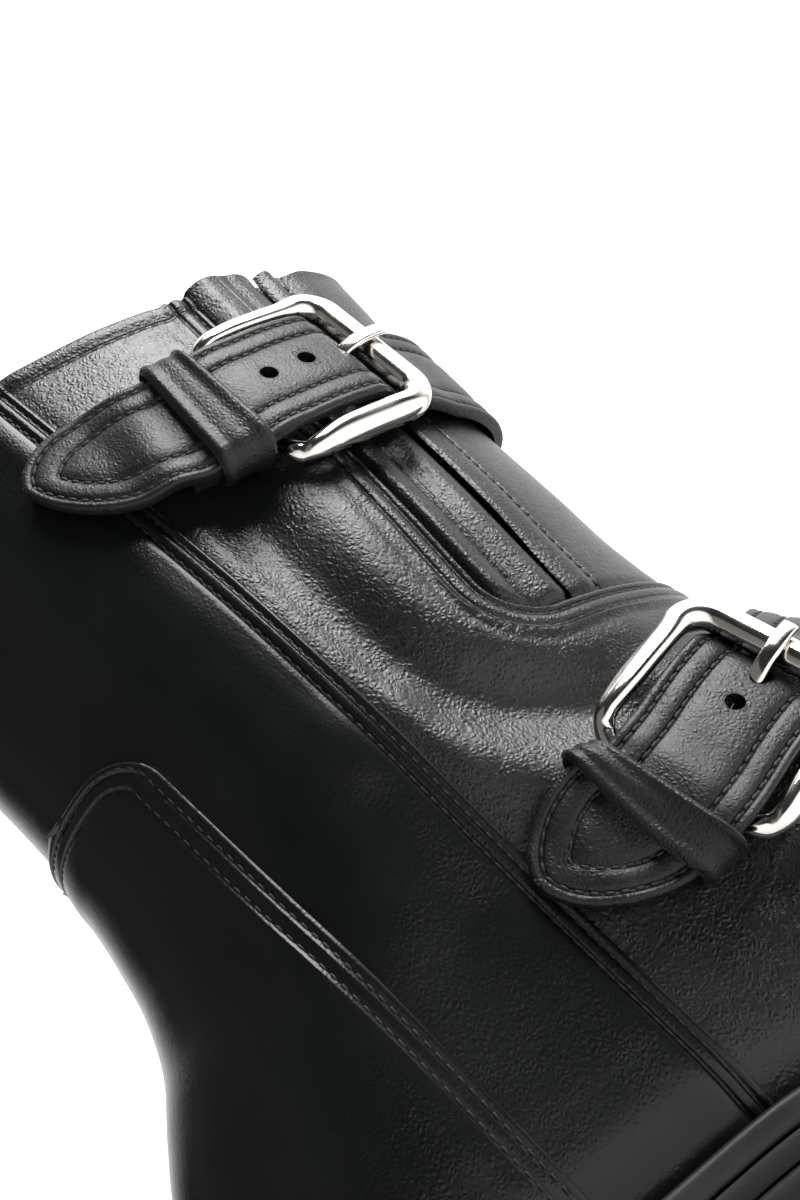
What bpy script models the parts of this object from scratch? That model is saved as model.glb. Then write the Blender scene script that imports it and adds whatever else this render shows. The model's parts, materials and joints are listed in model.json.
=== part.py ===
import math

import bmesh
import bpy
import numpy as np

# A right-foot ankle boot with two buckled straps. Tables and sizes are in millimetres
# and MM turns them into the metres of the meshes. While it is worked out, x runs from the
# back of the heel to the toe, y is negative on the outer side, and z is up from the floor.
# At the end everything is shifted so that the origin lies under the middle of the boot.
MM = 0.001
GAP = 0.3

# Last: one row for each level of the upper. Below the ankle a level leans down
# with the feather line, so height is measured over the heel seat.
LEVEL_COLUMNS = ("height", "back", "front", "heel_half", "ball_outer", "ball_inner",
                 "back_round", "front_round", "front_power")
LEVELS = (
    (38, 3.0, 268.0, 31.0, 49.0, 43.0, 40, 75, 2.20),
    (46, 0.9, 272.0, 33.6, 51.0, 45.5, 42, 76, 2.20),
    (56, 0.5, 270.0, 34.6, 50.5, 45.5, 43, 78, 2.10),
    (66, 1.6, 261.0, 35.2, 49.0, 44.5, 44, 82, 2.00),
    (74, 3.0, 243.0, 35.8, 47.0, 43.0, 45, 88, 2.00),
    (82, 5.2, 219.0, 36.5, 45.0, 41.5, 46, 92, 1.95),
    (91, 9.4, 191.0, 37.6, 43.2, 40.0, 47, 92, 1.90),
    (101, 14.6, 167.0, 38.9, 42.0, 39.5, 49, 84, 1.90),
    (112, 17.5, 151.0, 40.3, 41.5, 40.3, 51, 76, 1.90),
    (124, 18.3, 142.0, 41.6, 41.8, 41.6, 54, 70, 1.90),
    (138, 17.9, 137.5, 42.2, 42.2, 42.2, 57, 66, 1.85),
    (155, 15.3, 135.0, 41.6, 41.6, 41.6, 58, 62, 1.80),
    (172, 12.0, 132.6, 39.6, 39.6, 39.6, 59, 60, 1.75),
    (188, 9.6, 130.6, 36.8, 36.8, 36.8, 60, 60, 1.70),
    (204, 7.0, 129.6, 33.8, 33.8, 33.8, 60, 60, 1.65),
    (224, 4.2, 128.3, 30.0, 30.0, 30.0, 60, 60, 1.60),
)
SEAT_HEIGHT = 38.0
BALL_HEIGHT = 21.4
ANKLE_HEIGHT = 130.0
COLLAR_HEIGHT = 224.0
ARCH_RISE = 2.0
ARCH_START = 50.0
SHANK_START = 84.0
BALL_START = 158.0
BALL_END = 205.0
TOE_END = 268.0
TOE_SPRING = 8.0
TOE_SWING = 6.0
WAIST_X = 105.0
WAIST_LENGTH = 32.0
WAIST_OUTER = 1.5
WAIST_INNER = 6.0
BACK_POWER = 2.2

# Upper: wall, and the rear quarter that overlaps the front panel as a step in the wall
WALL = 1.8
QUARTER_STEP = 1.1
SEAM_X = 68.0
SEAM_LEAN = -0.189
SEAM_HEIGHT = 130.0
SEAM_EDGE = 0.6
FRONT_COLUMNS = 14
BACK_COLUMNS = 8
ROW_HEIGHTS = (38, 43, 50, 58, 66, 74, 82, 90, 98, 106, 115, 124, 134, 146, 160, 176, 192, 208, 224)

# Front opening with its folded gusset and the tongue in the middle
WINDOW_X = 95.0
WINDOW_LEAN = -0.069
WINDOW_LEVEL = 170.0
WINDOW_BOTTOM = 127.0
WINDOW_ROUND = 10.0
GUSSET_THICK = 1.2
GUSSET_LOW = 5.0
GUSSET_CLEAR = 0.9
# Folds of the gusset: distance from the rear edge of the opening, and offset from the last
GUSSET_COLUMNS = ("along", "offset")
GUSSET_FOLDS = (
    (-7.0, -2.5),
    (0.6, -2.5),
    (2.4, -1.0),
    (5.6, -0.5),
    (7.4, 0.1),
    (9.2, -0.7),
    (13.8, -0.9),
    (15.4, -2.6),
)
GUSSET_FRONT = 4
GUSSET_UNDER = -2.6
TONGUE_START = 16.2
TONGUE_THICK = 1.6
TONGUE_OFFSET = -0.3
TONGUE_COLUMNS = 5
OPENING_ROWS = (127.9, 130, 133, 138, 147, 160, 176, 192, 208, 226)

# Heel counter over the quarter
COUNTER_X = 44.7
COUNTER_LEAN = -0.18
COUNTER_LEVEL = 90.0
COUNTER_TOP = 146.0
COUNTER_ROUND = 7.0
COUNTER_THICK = 1.2
COUNTER_ROWS = (0.0, 0.1, 0.22, 0.34, 0.46, 0.58, 0.7, 0.82, 0.92, 0.96, 0.985, 1.0)
COUNTER_GAP = 0.65
COUNTER_SHARED = 4
COUNTER_MIDDLE = 4

# Sole layers: distance out from the feather line, and depth below it
RING_COLUMNS = ("out", "depth")
WELT_SIDE = ((-9.0, 0.3), (4.8, 0.3), (5.5, 1.0), (5.5, 4.1), (4.8, 4.8), (-9.0, 4.8))
MIDSOLE_SIDE = ((-9.3, 0.3), (-9.3, 5.1), (4.6, 5.1), (5.2, 5.6), (5.2, 8.4), (4.6, 8.9))
OUTSOLE_SIDE = ((5.0, 9.2), (5.8, 10.0), (5.8, 12.0), (5.2, 14.0))
INSOLE_SIDE = ((-2.6, -3.0), (-2.6, 0.0))
OUTSOLE_LIFT = 7.4
LUG_START = 134.0
LUG_RAMP = 16.0
LUG_PITCH = 15.0
LUG_GROOVE = 4.5
LUG_DEPTH = 4.5
LUG_FIRST = 150.0
LUG_COUNT = 8
LUG_CHANNEL = 5.0
HEEL_BREAST = 78.0
HEEL_TOP_OUT = 5.4
HEEL_FOOT_OUT = 3.6
HEEL_DEPTH = 14.3
HEEL_COLUMNS = 12
HEEL_GROOVES = (26.0, 46.0, 63.0)
HEEL_GROOVE_WIDTH = 4.0
HEEL_GROOVE_DEPTH = 4.0

# Straps: height of the middle line at stations along the boot, then sizes
STRAP_COLUMNS = ("along", "height")
UPPER_STRAP_LINE = (
    (30, 197.0), (42, 194.0), (56, 189.6), (72, 186.8), (84, 186.4), (105, 188.0), (125, 188.8), (140, 189.0),
)
LOWER_STRAP_LINE = ((55, 87.9), (73, 86.6), (86, 85.6), (98, 85.9), (112, 88.2), (128, 92.4), (160, 104.4))
STRAP_WIDTH = 26.0
STRAP_THICK = 2.4
STRAP_SEAT = 1.1
STRAP_TIP_ROUND = 20.0
STRAP_TIP_POWER = 2.0
STRAP_TIP_SHAPE = 0.62
STRAP_HOLE = 3.4
BUCKLE_LENGTH = 27.0
BUCKLE_HALF = 17.0
BUCKLE_ROUND = 5.5
BUCKLE_END_RADIUS = 2.8
BUCKLE_SIDE_WIDE = 2.9
BUCKLE_SIDE_SLIM = 2.0
BUCKLE_SIDE_TILT = 45.0
BUCKLE_HEEL_RADIUS = 1.5
BUCKLE_THIN_HALF = 12.3
BUCKLE_BOW = 2.0
HEEL_BAR_OFFSET = 4.4
CHAPE_THICK = 1.3
CHAPE_HALF = 10.6
PRONG_THICK = 1.4
PRONG_WIDTH = 2.8
PRONG_SLOT = 4.2
KEEPER_LENGTH = 8.0
KEEPER_WALL = 1.7
KEEPER_ALONG = 7.5
KEEPER_CLEAR = 0.85
STRAP_OVER = 7.8
STRAP_UNDER = 3.2
STRAP_ON_CHAPE = 4.8
# One row for each strap: x of tip, of heel bar, of chape end, and of the inner end, then the
# extra height of its heel bar, which clears the hollow of the ankle, the strap's height inside
# the buckle, and its holes' distances from the heel bar
STRAP_ROWS = (
    ("upper", UPPER_STRAP_LINE, 43.0, 81.5, 66.0, 62.0, 0.0, 7.8, (4.9, 12.8)),
    ("lower", LOWER_STRAP_LINE, 73.0, 101.5, 86.4, 80.0, 1.1, 6.9, (14.2,)),
)


# Working functions of the last

def smooth(value):
    value = np.clip(value, 0.0, 1.0)
    return value * value * (3.0 - 2.0 * value)


def table_curve(rows, place, value, at):
    knots = np.array([row[place] for row in rows], float)
    values = np.array([row[value] for row in rows], float)
    slopes = np.gradient(values, knots)
    at = np.clip(np.asarray(at, float), knots[0], knots[-1])
    i = np.clip(np.searchsorted(knots, at) - 1, 0, len(knots) - 2)
    step = knots[i + 1] - knots[i]
    t = (at - knots[i]) / step
    start = (2 * t ** 3 - 3 * t ** 2 + 1) * values[i] + (t ** 3 - 2 * t ** 2 + t) * step * slopes[i]
    end = (3 * t ** 2 - 2 * t ** 3) * values[i + 1] + (t ** 3 - t ** 2) * step * slopes[i + 1]
    return start + end


def level(name, height):
    return table_curve(LEVELS, 0, LEVEL_COLUMNS.index(name), height)


def feather(x):
    x = np.asarray(x, float)
    arch = ARCH_RISE * smooth((x - ARCH_START) / 36.0) * (1.0 - smooth((x - 94.0) / 45.0))
    drop = (SEAT_HEIGHT - BALL_HEIGHT) * smooth((x - SHANK_START) / (BALL_START - SHANK_START))
    spring = TOE_SPRING * np.clip((x - BALL_END) / (TOE_END - BALL_END), 0.0, 1.2) ** 2
    return SEAT_HEIGHT + arch - drop + spring


def lean_share(height):
    return np.clip((ANKLE_HEIGHT - height) / (ANKLE_HEIGHT - SEAT_HEIGHT), 0.0, 1.0)


def true_height(x, height):
    return height + (feather(x) - SEAT_HEIGHT) * lean_share(height)


def level_height(x, z):
    drop = feather(x) - SEAT_HEIGHT
    span = ANKLE_HEIGHT - SEAT_HEIGHT
    low = (z - drop * ANKLE_HEIGHT / span) / (1.0 - drop / span)
    return np.where(z < ANKLE_HEIGHT, low, z)


def half_width(x, height, outer):
    back = level("back", height)
    front = level("front", height)
    heel = level("heel_half", height)
    ball = level("ball_outer" if outer else "ball_inner", height)
    width = heel + (ball - heel) * smooth((x - 48.0) / 125.0)
    waist = WAIST_OUTER if outer else WAIST_INNER
    width = width - waist * lean_share(height) * np.exp(-((x - WAIST_X) / WAIST_LENGTH) ** 2)
    back_round = level("back_round", height)
    front_round = level("front_round", height)
    power = level("front_power", height)
    behind = np.clip((back + back_round - x) / back_round, 0.0, 1.0)
    ahead = np.clip((x - front + front_round) / front_round, 0.0, 1.0)
    width = width * (1.0 - behind ** BACK_POWER) ** (1.0 / BACK_POWER)
    return width * (1.0 - ahead ** power) ** (1.0 / power)


def side_y(x, height, outer):
    middle = TOE_SWING * smooth((x - 150.0) / 120.0)
    if outer:
        return middle - half_width(x, height, True)
    return middle + half_width(x, height, False)


def lean_line(x0, lean, at, z):
    return x0 + lean * (z - at)


def last_point(x, height, outer):
    return np.array((x, float(side_y(x, height, outer)), float(true_height(x, height))))


# Rings of the upper: from the toe along the outer side to the heel and back on the inner side

def ring_stations(height, with_step):
    back = float(level("back", height))
    front = float(level("front", height))
    seam = lean_line(SEAM_X, SEAM_LEAN, SEAM_HEIGHT, height)
    stations = []
    for i in range(FRONT_COLUMNS, -1, -1):
        turn = 0.5 * math.pi * i / FRONT_COLUMNS
        stations.append((seam + (front - seam) * math.sin(turn), 0.0))
    if with_step:
        stations.append((seam - SEAM_EDGE, 1.0))
    for i in range(BACK_COLUMNS - 1, -1, -1):
        turn = 0.5 * math.pi * i / BACK_COLUMNS
        stations.append((back + (seam - SEAM_EDGE - back) * (1.0 - math.cos(turn)), 1.0))
    return stations


def last_ring(height, with_step):
    stations = ring_stations(height, with_step)
    count = len(stations)
    points = []
    steps = []
    for i in range(count):
        points.append(last_point(stations[i][0], height, True))
        steps.append(stations[i][1])
    for i in range(count - 2, 0, -1):
        points.append(last_point(stations[i][0], height, False))
        steps.append(stations[i][1])
    return np.array(points), np.array(steps)


def unit(vectors):
    length = np.linalg.norm(vectors, axis=-1, keepdims=True)
    return vectors / np.maximum(length, 1e-9)


def grid_normals(grid, wrap):
    if wrap:
        along = np.roll(grid, -1, axis=1) - np.roll(grid, 1, axis=1)
    else:
        along = np.gradient(grid, axis=1)
    across = np.gradient(grid, axis=0)
    return unit(np.cross(along, across))


# Mesh helpers

def finish_object(name, bm, color, roughness, metallic):
    bmesh.ops.remove_doubles(bm, verts=bm.verts, dist=0.000002)
    bmesh.ops.dissolve_degenerate(bm, edges=bm.edges, dist=0.000001)
    bmesh.ops.recalc_face_normals(bm, faces=bm.faces)
    mesh = bpy.data.meshes.new(name)
    bm.to_mesh(mesh)
    bm.free()
    obj = bpy.data.objects.new(name, mesh)
    bpy.context.scene.collection.objects.link(obj)
    material = bpy.data.materials.new(name + "_finish")
    material.use_nodes = True
    shader = material.node_tree.nodes["Principled BSDF"]
    shader.inputs["Base Color"].default_value = color
    shader.inputs["Roughness"].default_value = roughness
    shader.inputs["Metallic"].default_value = metallic
    mesh.materials.append(material)
    return obj


def add_points(bm, points):
    return [bm.verts.new((float(p[0]) * MM, float(p[1]) * MM, float(p[2]) * MM)) for p in points]


def add_face(bm, corners):
    kept = []
    for corner in corners:
        if corner not in kept:
            kept.append(corner)
    if len(kept) > 2:
        bm.faces.new(kept)


def shell_solid(name, outer, inner, wrap, finish):
    bm = bmesh.new()
    rows, columns = outer.shape[0], outer.shape[1]
    out = [add_points(bm, outer[r]) for r in range(rows)]
    inn = [add_points(bm, inner[r]) for r in range(rows)]
    last = columns if wrap else columns - 1
    for r in range(rows - 1):
        for c in range(last):
            n = (c + 1) % columns
            add_face(bm, (out[r][c], out[r][n], out[r + 1][n], out[r + 1][c]))
            add_face(bm, (inn[r][n], inn[r][c], inn[r + 1][c], inn[r + 1][n]))
    for c in range(last):
        n = (c + 1) % columns
        add_face(bm, (out[0][n], out[0][c], inn[0][c], inn[0][n]))
        add_face(bm, (out[-1][c], out[-1][n], inn[-1][n], inn[-1][c]))
    if not wrap:
        for r in range(rows - 1):
            add_face(bm, (out[r][0], out[r + 1][0], inn[r + 1][0], inn[r][0]))
            add_face(bm, (out[r + 1][-1], out[r][-1], inn[r][-1], inn[r + 1][-1]))
    return finish_object(name, bm, *finish)


def tube_solid(name, sections, closed, finish):
    bm = bmesh.new()
    rings = [add_points(bm, section) for section in sections]
    count = len(rings)
    size = len(rings[0])
    for i in range(count if closed else count - 1):
        a = rings[i]
        b = rings[(i + 1) % count]
        for k in range(size):
            n = (k + 1) % size
            add_face(bm, (a[k], a[n], b[n], b[k]))
    if not closed:
        add_face(bm, rings[0][::-1])
        add_face(bm, rings[-1])
    return finish_object(name, bm, *finish)


def box_cutter(name, boxes):
    bm = bmesh.new()
    for low, high in boxes:
        made = bmesh.ops.create_cube(bm, size=1.0)
        for vert in made["verts"]:
            for axis in range(3):
                middle = 0.5 * (low[axis] + high[axis])
                vert.co[axis] = (middle + vert.co[axis] * (high[axis] - low[axis])) * MM
    return cutter_object(name, bm)


def cutter_object(name, bm):
    bmesh.ops.recalc_face_normals(bm, faces=bm.faces)
    mesh = bpy.data.meshes.new(name)
    bm.to_mesh(mesh)
    bm.free()
    obj = bpy.data.objects.new(name, mesh)
    bpy.context.scene.collection.objects.link(obj)
    obj.hide_render = True
    obj.display_type = "WIRE"
    return obj


def cut(obj, cutter):
    modifier = obj.modifiers.new("cut_" + cutter.name, "BOOLEAN")
    modifier.operation = "DIFFERENCE"
    modifier.solver = "EXACT"
    modifier.object = cutter


LEATHER = ((0.012, 0.012, 0.013, 1.0), 0.42, 0.0)
STRAP_LEATHER = ((0.014, 0.014, 0.015, 1.0), 0.38, 0.0)
RUBBER = ((0.016, 0.016, 0.017, 1.0), 0.65, 0.0)
METAL = ((0.72, 0.70, 0.67, 1.0), 0.18, 1.0)
LINING = ((0.05, 0.045, 0.04, 1.0), 0.85, 0.0)

bpy.context.scene.unit_settings.system = "METRIC"
for old in list(bpy.data.objects):
    bpy.data.objects.remove(old, do_unlink=True)


# Upper

def build_upper():
    grid = []
    for height in ROW_HEIGHTS:
        ring, steps = last_ring(height, True)
        grid.append(ring)
    grid = np.array(grid)
    normals = grid_normals(grid, True)
    if normals[len(ROW_HEIGHTS) // 2][0][0] < 0.0:
        normals = -normals
    for r in (0, -1):
        normals[r][:, 2] = 0.0
        normals[r] = unit(normals[r])
    outer = grid + normals * (QUARTER_STEP * steps)[None, :, None]
    inner = grid - normals * WALL
    outer[0][:, 2] = feather(outer[0][:, 0])
    inner[0][:, 2] = feather(inner[0][:, 0])
    obj = shell_solid("upper", outer, inner, True, LEATHER)
    bm = bmesh.new()
    corner = WINDOW_BOTTOM + WINDOW_ROUND
    profile = [(200.0, WINDOW_BOTTOM)]
    for i in range(7):
        turn = -0.5 * math.pi - 0.5 * math.pi * i / 6
        x0 = lean_line(WINDOW_X, WINDOW_LEAN, WINDOW_LEVEL, corner) + WINDOW_ROUND
        profile.append((x0 + WINDOW_ROUND * math.cos(turn), corner + WINDOW_ROUND * math.sin(turn)))
    profile.append((lean_line(WINDOW_X, WINDOW_LEAN, WINDOW_LEVEL, 260.0), 260.0))
    profile.append((200.0, 260.0))
    near = add_points(bm, [(x, -90.0, z) for x, z in profile])
    far = add_points(bm, [(x, 90.0, z) for x, z in profile])
    for i in range(len(profile)):
        n = (i + 1) % len(profile)
        bm.faces.new((near[i], near[n], far[n], far[i]))
    bm.faces.new(near[::-1])
    bm.faces.new(far)
    cut(obj, cutter_object("cut_window", bm))
    return obj


build_upper()


# Gusset and tongue

def window_depth(x, z):
    dx = x - lean_line(WINDOW_X, WINDOW_LEAN, WINDOW_LEVEL, z)
    dz = z - WINDOW_BOTTOM
    if dx < WINDOW_ROUND and dz < WINDOW_ROUND:
        return WINDOW_ROUND - math.hypot(WINDOW_ROUND - dx, WINDOW_ROUND - dz)
    return min(dx, dz)


def fold_stations(z, rows, start_x, front_count):
    edge = lean_line(WINDOW_X, WINDOW_LEAN, WINDOW_LEVEL, z)
    front = float(level("front", z))
    stations = [(edge + along, offset) for along, offset in rows]
    base = edge + start_x
    for i in range(1, front_count + 1):
        turn = 0.5 * math.pi * i / front_count
        stations.append((base + (front - base) * math.sin(turn), None))
    return stations


def opening_grid(heights, rows, start_x, front_count, rest_offset, thick):
    base = []
    offsets = []
    for z in heights:
        held = min(z, COLLAR_HEIGHT)
        stations = fold_stations(held, rows, start_x, front_count)
        line = []
        row = []
        for x, offset in stations:
            line.append((x, side_y(x, held, True), z))
            row.append(rest_offset if offset is None else offset)
        for x, offset in reversed(stations[:-1]):
            line.append((x, side_y(x, held, False), z))
            row.append(rest_offset if offset is None else offset)
        base.append(line)
        offsets.append(row)
    base = np.array(base, float)
    offsets = np.array(offsets, float)
    normals = grid_normals(base, False)
    middle = base.shape[1] // 2
    if normals[len(heights) // 2][middle][0] < 0.0:
        normals = -normals
    normals[-1][:, 2] = 0.0
    normals = unit(normals)
    return base, offsets, normals


def build_gusset():
    heights = [WINDOW_BOTTOM - GUSSET_LOW, WINDOW_BOTTOM - 0.6] + list(OPENING_ROWS)
    base, offsets, normals = opening_grid(heights, GUSSET_FOLDS, TONGUE_START, GUSSET_FRONT,
                                          GUSSET_UNDER, GUSSET_THICK)
    tucked = GUSSET_FOLDS[0][1]
    for r in range(base.shape[0]):
        for c in range(base.shape[1]):
            share = smooth((window_depth(base[r][c][0], base[r][c][2]) - 1.6) / 1.6)
            offsets[r][c] = min(offsets[r][c], tucked + (offsets[r][c] - tucked) * float(share))
            if base[r][c][2] < WINDOW_BOTTOM:
                offsets[r][c] -= GUSSET_CLEAR
    outer = base + normals * offsets[:, :, None]
    inner = base + normals * (offsets - GUSSET_THICK)[:, :, None]
    shell_solid("front_gusset", outer, inner, False, LEATHER)


def build_tongue():
    rows = ((TONGUE_START, TONGUE_OFFSET),)
    base, offsets, normals = opening_grid(OPENING_ROWS, rows, TONGUE_START, TONGUE_COLUMNS,
                                          TONGUE_OFFSET, TONGUE_THICK)
    outer = base + normals * offsets[:, :, None]
    inner = base + normals * (offsets - TONGUE_THICK)[:, :, None]
    shell_solid("front_tongue", outer, inner, False, LEATHER)


build_gusset()
build_tongue()


# Heel counter

def build_counter():
    base = []
    for share in COUNTER_ROWS:
        line = []
        for outer_side in (True, False):
            side = []
            probe = SEAT_HEIGHT + 0.6 + share * (COUNTER_TOP - SEAT_HEIGHT - 0.6)
            stations = ring_stations(probe, False)[::-1]
            shared = [stations[i][0] for i in range(COUNTER_SHARED + 1)]
            edge = lean_line(COUNTER_X, COUNTER_LEAN, COUNTER_LEVEL, probe)
            near_top = np.clip((probe - COUNTER_TOP + COUNTER_ROUND) / COUNTER_ROUND, 0.0, 1.0)
            edge -= COUNTER_ROUND * (1.0 - math.sqrt(max(0.0, 1.0 - float(near_top) ** 2)))
            shared = [min(x, edge - 3.0) for x in shared]
            places = shared + [shared[-1] + (edge - shared[-1]) * (i + 1) / COUNTER_MIDDLE
                               for i in range(COUNTER_MIDDLE)]
            for x in places:
                side.append(last_point(x, probe, outer_side))
            if outer_side:
                line = side[::-1]
            else:
                line = line + side[1:]
        base.append(line)
    base = np.array(base)
    normals = grid_normals(base, False)
    if normals[len(COUNTER_ROWS) // 2][base.shape[1] // 2][0] > 0.0:
        normals = -normals
    normals[0][:, 2] = 0.0
    normals = unit(normals)
    inner = base + normals * (QUARTER_STEP + COUNTER_GAP)
    outer = base + normals * (QUARTER_STEP + COUNTER_GAP + COUNTER_THICK)
    shell_solid("heel_counter", outer, inner, False, LEATHER)


build_counter()


# Sole layers

def sole_outline(stations):
    points = []
    for x in stations:
        points.append((x, float(side_y(x, SEAT_HEIGHT, True))))
    for x in stations[-2:0:-1]:
        points.append((x, float(side_y(x, SEAT_HEIGHT, False))))
    points = np.array(points)
    tangent = np.roll(points, -1, axis=0) - np.roll(points, 1, axis=0)
    normal = unit(np.stack((tangent[:, 1], -tangent[:, 0]), axis=1))
    if normal[0][0] < 0.0:
        normal = -normal
    return points, normal


def sole_ring(stations, out, depth_of):
    points, normal = sole_outline(stations)
    moved = points + normal * out
    ring = []
    for i in range(len(points)):
        ring.append((moved[i][0], moved[i][1], depth_of(moved[i][0])))
    return ring


def ladder(bm, ring, count, flip):
    for i in range(count - 1):
        a = ring[i]
        b = ring[i + 1]
        c = ring[(len(ring) - i - 1) % len(ring)]
        d = ring[(len(ring) - i) % len(ring)]
        corners = (a, b, c, d)
        add_face(bm, corners[::-1] if flip else corners)


def layer_solid(name, stations, rings, hollow, finish):
    bm = bmesh.new()
    made = [add_points(bm, ring) for ring in rings]
    size = len(made[0])
    for i in range(len(made) if hollow else len(made) - 1):
        a = made[i]
        b = made[(i + 1) % len(made)]
        for k in range(size):
            n = (k + 1) % size
            add_face(bm, (a[k], a[n], b[n], b[k]))
    if not hollow:
        ladder(bm, made[0], len(stations), False)
        ladder(bm, made[-1], len(stations), True)
    return finish_object(name, bm, *finish)


def plain_layer(name, side, hollow, finish):
    stations = [x for x, step in ring_stations(SEAT_HEIGHT, False)]
    rings = [sole_ring(stations, out, lambda x, d=depth: float(feather(x)) - d) for out, depth in side]
    return layer_solid(name, stations, rings, hollow, finish)


def outsole_foot(x):
    lugs = OUTSOLE_LIFT * float(smooth((x - LUG_START) / LUG_RAMP))
    return float(feather(x)) - OUTSOLE_SIDE[-1][1] - lugs


def build_sole():
    plain_layer("welt", WELT_SIDE, True, RUBBER)
    plain_layer("midsole", MIDSOLE_SIDE, False, RUBBER)
    plain_layer("insole", INSOLE_SIDE, False, LINING)
    stations = [x for x, step in ring_stations(SEAT_HEIGHT, False)]
    rings = [sole_ring(stations, out, lambda x, d=depth: float(feather(x)) - d)
             for out, depth in OUTSOLE_SIDE[:-1]]
    rings.append(sole_ring(stations, OUTSOLE_SIDE[-1][0] + 0.3, lambda x: outsole_foot(x) + 1.2))
    rings.append(sole_ring(stations, OUTSOLE_SIDE[-1][0], outsole_foot))
    outsole = layer_solid("outsole", stations, rings, False, RUBBER)
    grooves = []
    for i in range(LUG_COUNT):
        x = LUG_FIRST + i * LUG_PITCH
        floor = outsole_foot(x + 0.5 * LUG_GROOVE)
        grooves.append(((x, -80.0, floor - 12.0), (x + LUG_GROOVE, 80.0, floor + LUG_DEPTH)))
    cut(outsole, box_cutter("cut_lugs", grooves))
    middle = TOE_SWING * 0.3
    channel = ((LUG_FIRST + 10.0, middle - 0.5 * LUG_CHANNEL, -20.0),
               (BALL_END + 40.0, middle + 0.5 * LUG_CHANNEL, LUG_DEPTH - 1.0))
    cut(outsole, box_cutter("cut_channel", [channel]))
    back = float(level("back", SEAT_HEIGHT))
    places = [back + (HEEL_BREAST - back) * (1.0 - math.cos(0.5 * math.pi * i / HEEL_COLUMNS))
              for i in range(HEEL_COLUMNS, -1, -1)]
    bm = bmesh.new()
    made = []
    outline = []
    for x in places:
        outline.append((x, float(side_y(x, SEAT_HEIGHT, True))))
    for x in places[-2::-1]:
        outline.append((x, float(side_y(x, SEAT_HEIGHT, False))))
    outline = np.array(outline)
    tangent = np.gradient(outline, axis=0)
    normal = unit(np.stack((tangent[:, 1], -tangent[:, 0]), axis=1))
    if normal[len(outline) // 2][0] > 0.0:
        normal = -normal
    normal[0] = (0.0, math.copysign(1.0, normal[0][1]))
    normal[-1] = (0.0, math.copysign(1.0, normal[-1][1]))
    foot_in = HEEL_FOOT_OUT - 1.0
    for out, share in ((HEEL_TOP_OUT, 0.0), (HEEL_TOP_OUT, 0.2), (HEEL_FOOT_OUT, 0.92), (foot_in, 1.0)):
        ring = []
        for i in range(len(outline)):
            top = float(feather(outline[i][0])) - HEEL_DEPTH
            place = outline[i] + normal[i] * out
            ring.append((place[0], place[1], top * (1.0 - share)))
        made.append(add_points(bm, ring))
    size = len(outline)
    for i in range(len(made) - 1):
        for k in range(size - 1):
            add_face(bm, (made[i][k], made[i][k + 1], made[i + 1][k + 1], made[i + 1][k]))
        add_face(bm, (made[i][-1], made[i][0], made[i + 1][0], made[i + 1][-1]))
    for ring, flip in ((made[0], False), (made[-1], True)):
        for k in range(size // 2):
            corners = (ring[k], ring[k + 1], ring[size - 2 - k], ring[size - 1 - k])
            add_face(bm, corners[::-1] if flip else corners)
    heel = finish_object("heel", bm, *RUBBER)
    grooves = [((x, -60.0, -5.0), (x + HEEL_GROOVE_WIDTH, 60.0, HEEL_GROOVE_DEPTH)) for x in HEEL_GROOVES]
    cut(heel, box_cutter("cut_heel", grooves))


build_sole()


# Straps, keepers and buckles are set out along the strap's middle line on the last.
# s runs from the middle of the front toward the tip, b across the strap, and n off the surface.

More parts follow.
